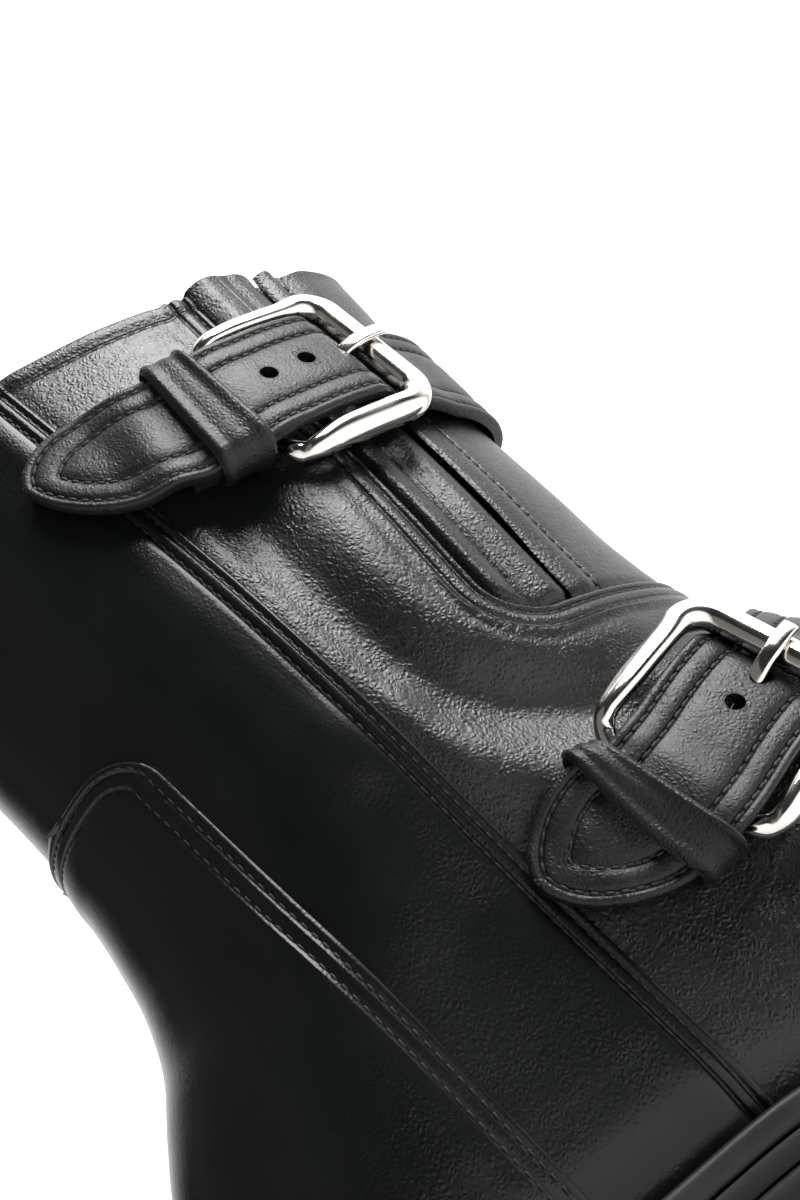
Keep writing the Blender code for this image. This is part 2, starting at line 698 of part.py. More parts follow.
class StrapPath:
    def __init__(self, line, tip_x, inner_x):
        self.line = line
        self.ends = {True: tip_x, False: inner_x}
        self.fronts = {}
        self.flat = (1000.0, 1001.0)
        self.across = np.array((0.0, 0.0, 1.0))
        self.anchor = np.zeros(3)
        steps = np.linspace(0.0, 1.0, 241)
        self.reach = {}
        for outer in (True, False):
            places = np.array([self.surface(outer, t, 0.0) for t in steps])
            lengths = np.linalg.norm(np.diff(places, axis=0), axis=1)
            self.reach[outer] = np.concatenate(([0.0], np.cumsum(lengths)))
        self.steps = steps

    def height(self, x, b):
        rise = float(table_curve(self.line, 0, 1, x + 0.5)) - float(table_curve(self.line, 0, 1, x - 0.5))
        return float(table_curve(self.line, 0, 1, x)) + b * math.sqrt(1.0 + rise * rise)

    def front(self, b):
        key = round(b, 4)
        if key not in self.fronts:
            x = 135.0
            for i in range(60):
                height = float(level_height(x, self.height(x, b)))
                x = 0.6 * x + 0.4 * float(level("front", height))
            self.fronts[key] = x
        return self.fronts[key]

    def surface(self, outer, t, b):
        front = self.front(b)
        end = self.ends[outer]
        x = end + (front - end) * math.cos(0.5 * math.pi * t)
        z = self.height(x, b)
        height = float(level_height(x, z))
        return np.array((x, float(side_y(x, height, outer)), z))

    def turn(self, s):
        outer = s >= 0.0
        t = float(np.interp(abs(s), self.reach[outer], self.steps))
        return outer, t

    def normal(self, s):
        a = self.place(s - 0.6, 0.0)
        b = self.place(s + 0.6, 0.0)
        outer, t = self.turn(s)
        low = self.surface(outer, t, -5.0)
        high = self.surface(outer, t, 5.0)
        normal = np.cross(b - a, high - low)
        normal = normal / np.linalg.norm(normal)
        outward = self.place(s, 0.0) - np.array((75.0, 0.0, self.place(s, 0.0)[2]))
        return normal if float(normal @ outward) > 0.0 else -normal

    def place(self, s, b):
        outer, t = self.turn(s)
        return self.surface(outer, t, b)

    def at(self, s, b, n):
        rise = float(smooth((s - self.flat[0] + 6.0) / 6.0))
        share = rise * (1.0 - float(smooth((s - self.flat[1]) / 6.0)))
        spot = self.place(s, b)
        if share > 0.0:
            middle = self.place(s, 0.0)
            middle = middle - self.across * float((middle - self.anchor) @ self.across)
            spot = spot * (1.0 - share) + (middle + self.across * b) * share
        return spot + self.normal(s) * n

    def laid(self, s, b, n):
        return self.place(s, b) + self.normal(s) * n

    def s_of_x(self, x):
        end = self.ends[True]
        front = self.front(0.0)
        t = math.acos(min(1.0, max(0.0, (x - end) / (front - end)))) / (0.5 * math.pi)
        return float(np.interp(t, self.steps, self.reach[True]))


def strap_lift(s, marks):
    base = STRAP_UNDER + marks["lift"]
    dip = marks["end"] + 1.2 + 0.9 * marks["lift"]
    under = (
        (marks["end"] - 60.0, STRAP_SEAT),
        (marks["end"] - 16.0, STRAP_SEAT),
        (marks["end"] - 9.0, base - 0.6),
        (dip, base),
        (dip + 1.0, base + 0.5),
        (dip + 2.0, base + 1.6),
        (dip + 3.2, base + 3.0),
        (dip + 4.4, base + 4.0),
        (dip + 6.5, base + 4.8),
        (dip + 9.0, base + 5.4),
    )
    over = (
        (marks["heel"] - 12.0, marks["crest"]),
        (marks["heel"] - 5.0, 0.5 * (marks["crest"] + STRAP_OVER + marks["lift"]) - 0.3),
        (marks["heel"] - 1.5, STRAP_OVER + marks["lift"]),
        (marks["heel"] + 2.5, STRAP_OVER + marks["lift"] - 0.3),
        (marks["heel"] + 6.0, STRAP_ON_CHAPE + 1.1 * marks["lift"] + 1.6),
        (marks["keeper"] + 5.7, STRAP_ON_CHAPE + 0.4 * marks["lift"]),
        (marks["chape"] + 1.0, STRAP_ON_CHAPE),
        (marks["chape"] + 9.0, QUARTER_STEP + STRAP_SEAT),
        (marks["tip"] + 5.0, QUARTER_STEP + STRAP_SEAT),
    )
    heights = [np.interp(s, [row[0] for row in rows], [row[1] for row in rows]) for rows in (under, over)]
    return float(min(heights))


def band_solid(name, path, stations, finish):
    outer = []
    inner = []
    for s, half, low, thick in stations:
        lines = (-half, -0.4 * half, 0.4 * half, half)
        outer.append([path.at(s, b, low + thick) for b in lines])
        inner.append([path.at(s, b, low) for b in lines])
    return shell_solid(name, np.array(outer), np.array(inner), False, finish)


def build_strap(name, line, tip_x, heel_x, chape_x, inner_x, lift, crest):
    path = StrapPath(line, tip_x, inner_x)
    marks = {"tip": float(path.reach[True][-1]), "heel": path.s_of_x(heel_x), "chape": path.s_of_x(chape_x)}
    marks["lift"] = lift
    marks["crest"] = crest
    marks["end"] = marks["heel"] - BUCKLE_LENGTH
    marks["keeper"] = marks["heel"] + KEEPER_ALONG
    path.flat = (marks["end"] - 4.0, marks["heel"] + 2.5)
    path.anchor = path.place(marks["heel"], 0.0)
    middle = 0.5 * (marks["end"] + marks["heel"])
    across = path.place(middle, 10.0) - path.place(middle, -10.0)
    chord = unit(path.place(marks["end"], 0.0) - path.place(marks["heel"], 0.0))
    path.across = unit(across - chord * float(across @ chord))
    stations = []
    inner_end = float(path.reach[False][-1])
    for s in np.linspace(-inner_end, 0.0, 13)[:-1]:
        stations.append(s)
    for s in np.linspace(0.0, marks["end"] - 4.0, 8)[:-1]:
        stations.append(s)
    for s in np.linspace(marks["end"] - 4.0, marks["end"] + 1.2, 3)[:-1]:
        stations.append(s)
    for s in np.linspace(marks["end"] + 1.2, marks["end"] + 8.2, 8)[:-1]:
        stations.append(s)
    for s in np.linspace(marks["end"] + 8.2, marks["keeper"] + 6.0, 13)[:-1]:
        stations.append(s)
    for s in np.linspace(marks["keeper"] + 6.0, marks["tip"] - STRAP_TIP_ROUND, 5)[:-1]:
        stations.append(s)
    for i in range(7):
        stations.append(marks["tip"] - STRAP_TIP_ROUND * (1.0 - math.sin(0.5 * math.pi * i / 6) * 0.995))
    rows = []
    for s in stations:
        near = max(0.0, (s - marks["tip"] + STRAP_TIP_ROUND) / STRAP_TIP_ROUND)
        half = 0.5 * STRAP_WIDTH * (1.0 - near ** STRAP_TIP_POWER) ** STRAP_TIP_SHAPE
        rows.append((s, max(half, 1.0), strap_lift(s, marks), STRAP_THICK))
    strap = band_solid(name + "_strap", path, rows, STRAP_LEATHER)
    return path, marks, strap


def buckle_frame(path, marks):
    heel = path.at(marks["heel"], 0.0, HEEL_BAR_OFFSET + marks["lift"])
    end_low = strap_lift(marks["end"], marks) + STRAP_THICK + GAP + BUCKLE_END_RADIUS
    end = path.at(marks["end"], 0.0, end_low)
    along = unit(end - heel)
    across = unit(path.across - along * float(path.across @ along))
    lift = np.cross(along, across)
    outward = path.normal(0.5 * (marks["heel"] + marks["end"]))
    if float(lift @ outward) < 0.0:
        lift = -lift
    return heel, along, across, lift, float(np.linalg.norm(end - heel))


def bar_radii(share, v):
    side = float(smooth((abs(v) - BUCKLE_THIN_HALF) / 2.6)) * (0.3 + 0.7 * float(smooth(share / 0.4)))
    end = float(smooth((share - 0.7) / 0.24))
    radii = []
    for size in (BUCKLE_SIDE_WIDE, BUCKLE_SIDE_SLIM):
        radius = BUCKLE_HEEL_RADIUS + (size - BUCKLE_HEEL_RADIUS) * side
        radii.append(radius + (BUCKLE_END_RADIUS - radius) * end)
    return radii


def build_buckle(name, path, marks):
    heel, along, across, lift, length = buckle_frame(path, marks)
    tilt = math.radians(BUCKLE_SIDE_TILT)
    corners = ((length - BUCKLE_ROUND, BUCKLE_HALF - BUCKLE_ROUND, 90.0, 0.0),
               (length - BUCKLE_ROUND, -BUCKLE_HALF + BUCKLE_ROUND, 0.0, -90.0),
               (BUCKLE_ROUND, -BUCKLE_HALF + BUCKLE_ROUND, -90.0, -180.0),
               (BUCKLE_ROUND, BUCKLE_HALF - BUCKLE_ROUND, 180.0, 90.0))
    sections = []
    for u0, v0, first, last in corners:
        for i in range(6):
            turn = math.radians(first + (last - first) * i / 5)
            u = u0 + BUCKLE_ROUND * math.cos(turn)
            v = v0 + BUCKLE_ROUND * math.sin(turn)
            share = min(1.0, max(0.0, u / length))
            wide, slim = bar_radii(share, v)
            bow = BUCKLE_BOW * math.sin(math.pi * max(0.0, (share - 0.06) / 0.94) ** 0.5)
            middle = heel + along * u + across * v + lift * bow
            out = along * math.cos(turn) + across * math.sin(turn)
            broad = (out * math.cos(tilt) - lift * math.sin(tilt)) * wide
            thick = (out * math.sin(tilt) + lift * math.cos(tilt)) * slim
            ring = []
            for k in range(8):
                angle = 2.0 * math.pi * k / 8
                ring.append(middle + broad * math.cos(angle) + thick * math.sin(angle))
            sections.append(ring)
    tube_solid(name + "_buckle", sections, True, METAL)
    return heel, along, across, lift, length


def build_prong(name, path, marks, frame):
    heel, along, across, lift, length = frame
    middle = BUCKLE_HEEL_RADIUS + GAP + 0.5 * PRONG_THICK
    top = BUCKLE_END_RADIUS + GAP + 0.5 * PRONG_THICK
    spine = []
    for i in range(10):
        turn = math.radians(-115.0 - 155.0 * i / 9)
        spine.append((middle * math.cos(turn), middle * math.sin(turn)))
    spine.append((4.0, middle - 1.9))
    spine.append((9.0, middle - 4.0))
    spine.append((length - 13.0, middle - 4.6))
    spine.append((length - 10.5, middle - 3.4))
    spine.append((length - 8.2, middle - 1.3))
    spine.append((length - 6.0, top - 1.1))
    spine.append((length - 3.4, top - 0.1))
    spine.append((length, top + 0.15))
    spine.append((length + 2.2, top - 0.2))
    spine.append((length + 3.6, top - 0.8))
    spine = np.array(spine)
    tangents = unit(np.gradient(spine, axis=0))
    sections = []
    half = 0.5 * PRONG_WIDTH
    for i in range(len(spine)):
        u, v = spine[i]
        side = np.array((-tangents[i][1], tangents[i][0])) * 0.5 * PRONG_THICK
        width = half if i < len(spine) - 1 else half * 0.6
        low = heel + along * (u - side[0]) + lift * (v - side[1])
        high = heel + along * (u + side[0]) + lift * (v + side[1])
        sections.append((low - across * width, low + across * width, high + across * width * 0.8,
                         high - across * width * 0.8))
    tube_solid(name + "_prong", sections, False, METAL)


def build_keeper(name, path, marks):
    half = 0.5 * STRAP_WIDTH + GAP
    first = marks["keeper"] - 0.5 * KEEPER_LENGTH
    last = marks["keeper"] + 0.5 * KEEPER_LENGTH
    rings = []
    bm = bmesh.new()
    for s in np.linspace(first, last, 7):
        high = strap_lift(s, marks) + STRAP_THICK + KEEPER_CLEAR
        wide = half + KEEPER_WALL
        tall = high + KEEPER_WALL
        inside = ((-half, STRAP_SEAT), (-half, high - 0.6), (-half + 0.6, high), (half - 0.6, high),
                  (half, high - 0.6), (half, STRAP_SEAT))
        outside = ((wide, STRAP_SEAT), (wide, tall - 0.9), (wide - 0.9, tall), (-wide + 0.9, tall),
                   (-wide, tall - 0.9), (-wide, STRAP_SEAT))
        spots = []
        for b, n in inside + outside:
            spots.append(path.laid(s, b, n) if n == STRAP_SEAT else path.at(s, b, n))
        rings.append(add_points(bm, spots))
    size = len(rings[0])
    for i in range(len(rings) - 1):
        for k in range(size):
            n = (k + 1) % size
            add_face(bm, (rings[i][k], rings[i][n], rings[i + 1][n], rings[i + 1][k]))
    for ring in (rings[0], rings[-1]):
        for k in range(5):
            add_face(bm, (ring[k], ring[k + 1], ring[10 - k], ring[11 - k]))
    finish_object(name + "_keeper", bm, *STRAP_LEATHER)


def build_chape(name, path, marks, frame):
    heel, along, across, lift, length = frame
    low = STRAP_SEAT + 0.5 * CHAPE_THICK
    high = low + CHAPE_THICK + GAP
    bend = BUCKLE_HEEL_RADIUS + GAP + 0.5 * CHAPE_THICK
    bar = HEEL_BAR_OFFSET + marks["lift"]
    tail = marks["chape"] - marks["heel"]
    turned = []
    for i in range(10):
        turn = math.radians(75.0 + 210.0 * i / 9)
        turned.append((bend * math.cos(turn), bar + bend * math.sin(turn)))
    spine = [(d, high) for d in np.linspace(tail, 7.5, 3)]
    spine.append((4.5, 0.5 * (high + bar + bend)))
    spine = spine + turned
    spine.append((4.5, 0.5 * (low + bar - bend)))
    spine = spine + [(d, low) for d in np.linspace(7.5, tail, 3)]
    spine = np.array(spine)
    tangents = unit(np.gradient(spine, axis=0))

    def spot(d, b, n):
        straight = heel - along * d + across * b + lift * (n - bar)
        laid = path.laid(marks["heel"] + d, b, n)
        share = float(smooth((d - 2.5) / 5.0))
        return straight * (1.0 - share) + laid * share

    left = []
    right = []
    for i in range(len(spine)):
        side = np.array((-tangents[i][1], tangents[i][0])) * 0.5 * CHAPE_THICK
        breadth = (-CHAPE_HALF, 0.0, CHAPE_HALF)
        left.append([spot(spine[i][0] + side[0], b, spine[i][1] + side[1]) for b in breadth])
        right.append([spot(spine[i][0] - side[0], b, spine[i][1] - side[1]) for b in breadth])
    return shell_solid(name + "_chape", np.array(left), np.array(right), False, STRAP_LEATHER)


def local_box(name, frame, spans):
    heel, along, across, lift, length = frame
    bm = bmesh.new()
    for (u0, u1), (v0, v1), (w0, w1) in spans:
        corners = []
        for w in (w0, w1):
            for u, v in ((u0, v0), (u1, v0), (u1, v1), (u0, v1)):
                corners.append(heel + along * u + across * v + lift * w)
        made = add_points(bm, corners)
        for quad in ((0, 1, 2, 3), (7, 6, 5, 4), (0, 4, 5, 1), (1, 5, 6, 2), (2, 6, 7, 3), (3, 7, 4, 0)):
            bm.faces.new([made[i] for i in quad])
    return cutter_object(name, bm)


def hole_cutter(name, path, marks, places):
    bm = bmesh.new()
    for s in places:
        middle = path.place(s, 0.0)
        lift = path.normal(s)
        along = unit(path.place(s + 1.0, 0.0) - path.place(s - 1.0, 0.0))
        across = np.cross(lift, along)
        low = []
        high = []
        for k in range(10):
            angle = 2.0 * math.pi * k / 10
            spoke = (along * math.cos(angle) + across * math.sin(angle)) * 0.5 * STRAP_HOLE
            low.append(middle + spoke + lift * 0.4)
            high.append(middle + spoke + lift * 16.0)
        a = add_points(bm, low)
        b = add_points(bm, high)
        for k in range(10):
            n = (k + 1) % 10
            bm.faces.new((a[k], a[n], b[n], b[k]))
        bm.faces.new(a[::-1])
        bm.faces.new(b)
    return cutter_object(name, bm)


for strap_row in STRAP_ROWS:
    strap_name = strap_row[0]
    strap_path, strap_marks, strap_obj = build_strap(*strap_row[:8])
    strap_frame = build_buckle(strap_name, strap_path, strap_marks)
    build_prong(strap_name, strap_path, strap_marks, strap_frame)
    build_keeper(strap_name, strap_path, strap_marks)
    chape_obj = build_chape(strap_name, strap_path, strap_marks, strap_frame)
    slot = 0.5 * PRONG_SLOT
    span = strap_frame[4]
    cut(chape_obj, local_box("cut_chape_" + strap_name, strap_frame,
                             [((-7.0, 9.0), (-slot, slot), (-9.0, 6.0))]))
    cut(strap_obj, local_box("cut_prong_" + strap_name, strap_frame,
                             [((span - 10.6, span - 3.2), (-slot, slot), (-9.0, 12.0))]))
    holes = [strap_marks["heel"] - distance for distance in strap_row[8]]
    cut(strap_obj, hole_cutter("cut_holes_" + strap_name, strap_path, strap_marks, holes))


# Put the origin under the middle of the boot's box
view = bpy.context.evaluated_depsgraph_get()
low_corner = np.full(3, 1e9)
high_corner = np.full(3, -1e9)
for part in bpy.context.scene.objects:
    if part.type == "MESH" and not part.hide_render:
        shown = part.evaluated_get(view).to_mesh()
        places = np.array([vertex.co[:] for vertex in shown.vertices])
        low_corner = np.minimum(low_corner, places.min(axis=0))
        high_corner = np.maximum(high_corner, places.max(axis=0))
shift = 0.5 * (low_corner + high_corner)
shift[2] = low_corner[2]
for part in bpy.context.scene.objects:
    for vertex in part.data.vertices:
        vertex.co.x -= shift[0]
        vertex.co.y -= shift[1]
        vertex.co.z -= shift[2]
print("shift", shift, "size", high_corner - low_corner)
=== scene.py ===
import json
import math

import bpy
import numpy as np
from mathutils import Matrix, Vector

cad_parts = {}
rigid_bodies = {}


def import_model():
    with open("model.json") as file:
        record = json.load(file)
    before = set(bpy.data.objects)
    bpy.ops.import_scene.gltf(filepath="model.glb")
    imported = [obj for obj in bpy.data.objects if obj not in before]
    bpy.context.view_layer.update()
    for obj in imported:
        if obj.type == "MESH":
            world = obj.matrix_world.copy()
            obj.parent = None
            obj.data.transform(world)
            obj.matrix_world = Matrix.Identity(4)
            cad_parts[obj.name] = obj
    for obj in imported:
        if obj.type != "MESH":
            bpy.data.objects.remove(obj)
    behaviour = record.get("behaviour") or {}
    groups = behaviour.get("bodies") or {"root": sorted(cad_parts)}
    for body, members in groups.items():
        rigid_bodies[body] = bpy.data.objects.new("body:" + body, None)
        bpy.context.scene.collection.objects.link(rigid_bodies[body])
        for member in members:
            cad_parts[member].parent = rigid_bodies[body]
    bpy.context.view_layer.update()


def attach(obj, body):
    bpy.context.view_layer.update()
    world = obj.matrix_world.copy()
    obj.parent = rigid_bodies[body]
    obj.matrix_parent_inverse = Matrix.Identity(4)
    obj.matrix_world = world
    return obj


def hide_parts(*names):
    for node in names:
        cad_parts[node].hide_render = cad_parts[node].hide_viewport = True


for old in list(bpy.data.objects):
    bpy.data.objects.remove(old)
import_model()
bpy.ops.object.select_all(action="DESELECT")

# Working sizes are in millimetres: x from the back of the heel to the toe,
# y negative on the outer side, z up from the floor
bootPlace = {"shift": (135.5, -1.882, 0.0), "scale": 0.001}
quarter = 0.5 * math.pi
bothSides = (True, False)  # the outer side comes first


def toPart(places):
    return (np.asarray(places, float) - np.array(bootPlace["shift"])) * bootPlace["scale"]


def toBoot(places):
    return np.asarray(places, float) / bootPlace["scale"] + np.array(bootPlace["shift"])


# The last, level by level, leaning down with the feather line below the ankle
last = {
    "columns": ("height", "back", "front", "heelHalf", "ballOuter", "ballInner",
                "backRound", "frontRound", "frontPower"),
    "levels": (
        (38, 3.0, 268.0, 31.0, 49.0, 43.0, 40, 75, 2.20),
        (46, 0.9, 272.0, 33.6, 51.0, 45.5, 42, 76, 2.20),
        (56, 0.5, 270.0, 34.6, 50.5, 45.5, 43, 78, 2.10),
        (66, 1.6, 261.0, 35.2, 49.0, 44.5, 44, 82, 2.00),
        (74, 3.0, 243.0, 35.8, 47.0, 43.0, 45, 88, 2.00),
        (82, 5.2, 219.0, 36.5, 45.0, 41.5, 46, 92, 1.95),
        (91, 9.4, 191.0, 37.6, 43.2, 40.0, 47, 92, 1.90),
        (101, 14.6, 167.0, 38.9, 42.0, 39.5, 49, 84, 1.90),
        (112, 17.5, 151.0, 40.3, 41.5, 40.3, 51, 76, 1.90),
        (124, 18.3, 142.0, 41.6, 41.8, 41.6, 54, 70, 1.90),
        (138, 17.9, 137.5, 42.2, 42.2, 42.2, 57, 66, 1.85),
        (155, 15.3, 135.0, 41.6, 41.6, 41.6, 58, 62, 1.80),
        (172, 12.0, 132.6, 39.6, 39.6, 39.6, 59, 60, 1.75),
        (188, 9.6, 130.6, 36.8, 36.8, 36.8, 60, 60, 1.70),
        (204, 7.0, 129.6, 33.8, 33.8, 33.8, 60, 60, 1.65),
        (224, 4.2, 128.3, 30.0, 30.0, 30.0, 60, 60, 1.60),
    ),
    "seat": 38.0, "ball": 21.4, "ankle": 130.0, "collar": 224.0, "backPower": 2.2,
    "archRise": 2.0, "archIn": (50.0, 36.0), "archOut": (94.0, 45.0), "drop": (84.0, 74.0),
    "toeSpring": 8.0, "spring": (205.0, 63.0), "springMost": 1.2, "toeSwing": 6.0, "swing": (150.0, 120.0),
    "widen": (48.0, 125.0), "waist": (105.0, 32.0), "waistOuter": 1.5, "waistInner": 6.0,
}


def smoothStep(value):
    value = np.clip(value, 0.0, 1.0)
    return value * value * (3.0 - 2.0 * value)


def climb(value, start, length):
    return smoothStep((value - start) / length)


def edgeFall(away, reach):
    # one at an edge, nothing beyond the reach
    return 1.0 - smoothStep(away / reach)


def bump(value, middle, width):
    return np.exp(-((value - middle) / width) ** 2)


def roundHump(value, middle, half):
    return np.sqrt(np.clip(1.0 - ((value - middle) / half) ** 2, 0.0, 1.0))


def unit(vectors):
    vectors = np.asarray(vectors, float)
    return vectors / np.maximum(np.linalg.norm(vectors, axis=-1, keepdims=True), 1e-9)


def tableCurve(rows, at, value=1):
    knots = np.array([row[0] for row in rows], float)
    values = np.array([row[value] for row in rows], float)
    slopes = np.gradient(values, knots)
    at = np.clip(np.asarray(at, float), knots[0], knots[-1])
    i = np.clip(np.searchsorted(knots, at) - 1, 0, len(knots) - 2)
    step = knots[i + 1] - knots[i]
    t = (at - knots[i]) / step
    start = (2 * t ** 3 - 3 * t ** 2 + 1) * values[i] + (t ** 3 - 2 * t ** 2 + t) * step * slopes[i]
    end = (3 * t ** 2 - 2 * t ** 3) * values[i + 1] + (t ** 3 - t ** 2) * step * slopes[i + 1]
    return start + end


def level(name, height):
    return tableCurve(last["levels"], height, last["columns"].index(name))


def feather(x):
    x = np.asarray(x, float)
    arch = last["archRise"] * climb(x, *last["archIn"]) * (1.0 - climb(x, *last["archOut"]))
    drop = (last["seat"] - last["ball"]) * climb(x, *last["drop"])
    start, length = last["spring"]
    spring = last["toeSpring"] * np.clip((x - start) / length, 0.0, last["springMost"]) ** 2
    return last["seat"] + arch - drop + spring


def heightShare(x, share, top):
    # a share of the way from the feather line to the top
    low = feather(x)
    return low + share * (top - low)


def leanShare(height):
    return np.clip((last["ankle"] - height) / (last["ankle"] - last["seat"]), 0.0, 1.0)


def levelHeight(x, z):
    drop = feather(x) - last["seat"]
    span = last["ankle"] - last["seat"]
    low = (z - drop * last["ankle"] / span) / (1.0 - drop / span)
    return np.where(z < last["ankle"], low, z)


def middleY(x):
    return last["toeSwing"] * climb(np.asarray(x, float), *last["swing"])


def halfWidth(x, height, outer):
    side = "Outer" if outer else "Inner"
    heel = level("heelHalf", height)
    width = heel + (level("ball" + side, height) - heel) * climb(x, *last["widen"])
    width = width - last["waist" + side] * leanShare(height) * bump(x, *last["waist"])
    backRound, frontRound = level("backRound", height), level("frontRound", height)
    behind = np.clip((level("back", height) + backRound - x) / backRound, 0.0, 1.0)
    ahead = np.clip((x - level("front", height) + frontRound) / frontRound, 0.0, 1.0)
    for share, power in ((behind, last["backPower"]), (ahead, level("frontPower", height))):
        width = width * (1.0 - share ** power) ** (1.0 / power)
    return width


def sideY(x, height, outer):
    return middleY(x) + (-1.0 if outer else 1.0) * halfWidth(x, height, outer)


def onLast(x, z, outer):
    x, z = np.broadcast_arrays(np.asarray(x, float), np.asarray(z, float))
    held = np.minimum(z, last["collar"])
    return np.stack((x, sideY(x, levelHeight(x, held), outer), z), axis=-1)


def roundLast(x, z):
    # along the outer side and back along the inner one
    return np.concatenate((onLast(x, z, True), onLast(x, z, False)[::-1][1:]))


def lastNormal(x, z, outer):
    step = 0.4
    x = np.asarray(x, float)
    z = np.minimum(np.asarray(z, float), last["collar"] - step)
    along = onLast(x + step, z, outer) - onLast(x - step, z, outer)
    rise = onLast(x, z + step, outer) - onLast(x, z - step, outer)
    normal = np.cross(along, rise)
    return unit(normal if outer else -normal)


def frontAt(heightOf, start=142.0, keep=0.5, rounds=40):
    # where the front of the last meets a height that may change along the boot
    x = start
    for i in range(rounds):
        x = keep * x + (1.0 - keep) * float(level("front", levelHeight(x, heightOf(x))))
    return x


def leanLine(line, z):
    return line["x"] + line["lean"] * (np.asarray(z, float) - line["at"])


def cornerDistance(a, b, radius):
    # distance out of a corner between two lines that is rounded off
    a, b = a + radius, b + radius
    return np.hypot(np.maximum(a, 0.0), np.maximum(b, 0.0)) + np.minimum(np.maximum(a, b), 0.0) - radius


def pathRun(path):
    return np.concatenate(([0.0], np.cumsum(np.linalg.norm(np.diff(path, axis=0), axis=1))))


def pathAt(at, run, rows):
    return np.stack([np.interp(at, run, rows[:, k]) for k in range(3)], axis=1)


def bridge(first, second, count):
    # the points between two ends
    return [first * (1 - t) + second * t for t in np.linspace(0.0, 1.0, count)[1:-1]]


def closeEnds(rings):
    # a ring drawn in to its middle at both ends
    first, final = [np.repeat(np.mean(ring, axis=0, keepdims=True), len(ring), axis=0)
                    for ring in (rings[0], rings[-1])]
    return [first, *rings, final]


# Mesh helpers

def pick(piece):
    bpy.ops.object.select_all(action="DESELECT")
    piece.select_set(True)
    bpy.context.view_layer.objects.active = piece


def setPlaces(piece, places):
    piece.data.vertices.foreach_set("co", toPart(places).ravel())
    piece.data.update()


def gridSheet(name, places, wrap=False):
    places = np.asarray(places, float)
    if wrap:
        places = np.concatenate((places, places[:, :1]), axis=1)
    rows, columns = places.shape[:2]
    bpy.ops.mesh.primitive_grid_add(x_subdivisions=columns - 1, y_subdivisions=rows - 1, size=1.0)
    piece = bpy.context.object
    piece.name = piece.data.name = name
    setPlaces(piece, places)
    return piece


def editAll(piece, *steps):
    pick(piece)
    bpy.ops.object.mode_set(mode="EDIT")
    for step, settings in steps:
        bpy.ops.mesh.select_all(action="SELECT")
        step(**settings)
    bpy.ops.object.mode_set(mode="OBJECT")


def weld(piece, distance=0.000004):
    editAll(piece, (bpy.ops.mesh.remove_doubles, {"threshold": distance}),
            (bpy.ops.mesh.dissolve_degenerate, {"threshold": 0.000001}),
            (bpy.ops.mesh.normals_make_consistent, {"inside": False}))


def joinPieces(pieces, name):
    pick(pieces[0])
    for piece in pieces:
        piece.select_set(True)
    bpy.ops.object.join()
    pieces[0].name = pieces[0].data.name = name
    return pieces[0]


def turnOut(piece, towards):
    # an open sheet is turned so that its faces look the way that is given at each point
    count = len(piece.data.vertices) * 3
    normals, places = np.zeros(count), np.zeros(count)
    piece.data.vertex_normals.foreach_get("vector", normals)
    piece.data.vertices.foreach_get("co", places)
    normals = normals.reshape(-1, 3)
    places = toBoot(places.reshape(-1, 3))
    if float((normals * towards(places)).sum()) < 0.0:
        editAll(piece, (bpy.ops.mesh.flip_normals, {}))
        normals = -normals
    return places, normals


def fromAxis(places):
    x, y, z = places.T
    return places - np.stack((np.clip(x, 75.0, 190.0), middleY(x), z), axis=1)


def setValue(piece, name, values):
    attribute = piece.data.attributes.new(name, "FLOAT", "POINT")
    attribute.data.foreach_set("value", np.asarray(values, np.float32))


def finishWith(piece, kind, **settings):
    pick(piece)
    modifier = piece.modifiers.new(kind.lower(), kind)
    for key, value in settings.items():
        setattr(modifier, key, value)
    bpy.ops.object.modifier_apply(modifier=modifier.name)


def shapeOf(tool):
    return np.array([v.co[:] for v in tool.data.vertices])


def cutWith(piece, tool):
    finishWith(piece, "BOOLEAN", operation="DIFFERENCE", solver="EXACT", object=tool)
    bpy.data.objects.remove(tool)


def cutBoxes(piece, boxes):
    tools = []
    for low, high in boxes:
        bpy.ops.mesh.primitive_cube_add(size=1.0)
        tool = bpy.context.object
        setPlaces(tool, np.array(low) + (shapeOf(tool) + 0.5) * (np.array(high) - np.array(low)))
        tools.append(tool)
    cutWith(piece, joinPieces(tools, "grooveTool"))


def softEdges(piece):
    finishWith(piece, "BEVEL", width=0.0004, segments=2, limit_method="ANGLE", angle_limit=math.radians(48.0))


def dress(piece, materials, nodes=(), angle=40.0):
    for material in materials:
        piece.data.materials.append(material)
    pick(piece)
    bpy.ops.object.shade_smooth_by_angle(angle=math.radians(angle))
    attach(piece, "root")
    if nodes:
        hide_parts(*nodes)
    print("made", piece.name, len(piece.data.polygons), "faces")
    return piece


def closedPiece(name, rings):
    piece = gridSheet(name, rings, True)
    weld(piece)
    return piece


# Materials

def newMaterial(name):
    material = bpy.data.materials.new(name)
    material.use_nodes = True
    tree = material.node_tree
    return material, tree, tree.nodes["Principled BSDF"]


def addNode(tree, kind, inputs=None, **settings):
    node = tree.nodes.new(kind)
    for key, value in settings.items():
        setattr(node, key, value)
    for key, value in (inputs or {}).items():
        if isinstance(value, bpy.types.NodeSocket):
            tree.links.new(value, node.inputs[key])
        else:
            node.inputs[key].default_value = value
    return node


def mathNode(tree, operation, first, second=0.0):
    return addNode(tree, "ShaderNodeMath", {0: first, 1: second}, operation=operation).outputs[0]


def vectorMath(tree, operation, first, second, slot=1):
    return addNode(tree, "ShaderNodeVectorMath", {0: first, slot: second}, operation=operation).outputs[0]


def objectPoint(tree):
    return addNode(tree, "ShaderNodeTexCoord").outputs["Object"]


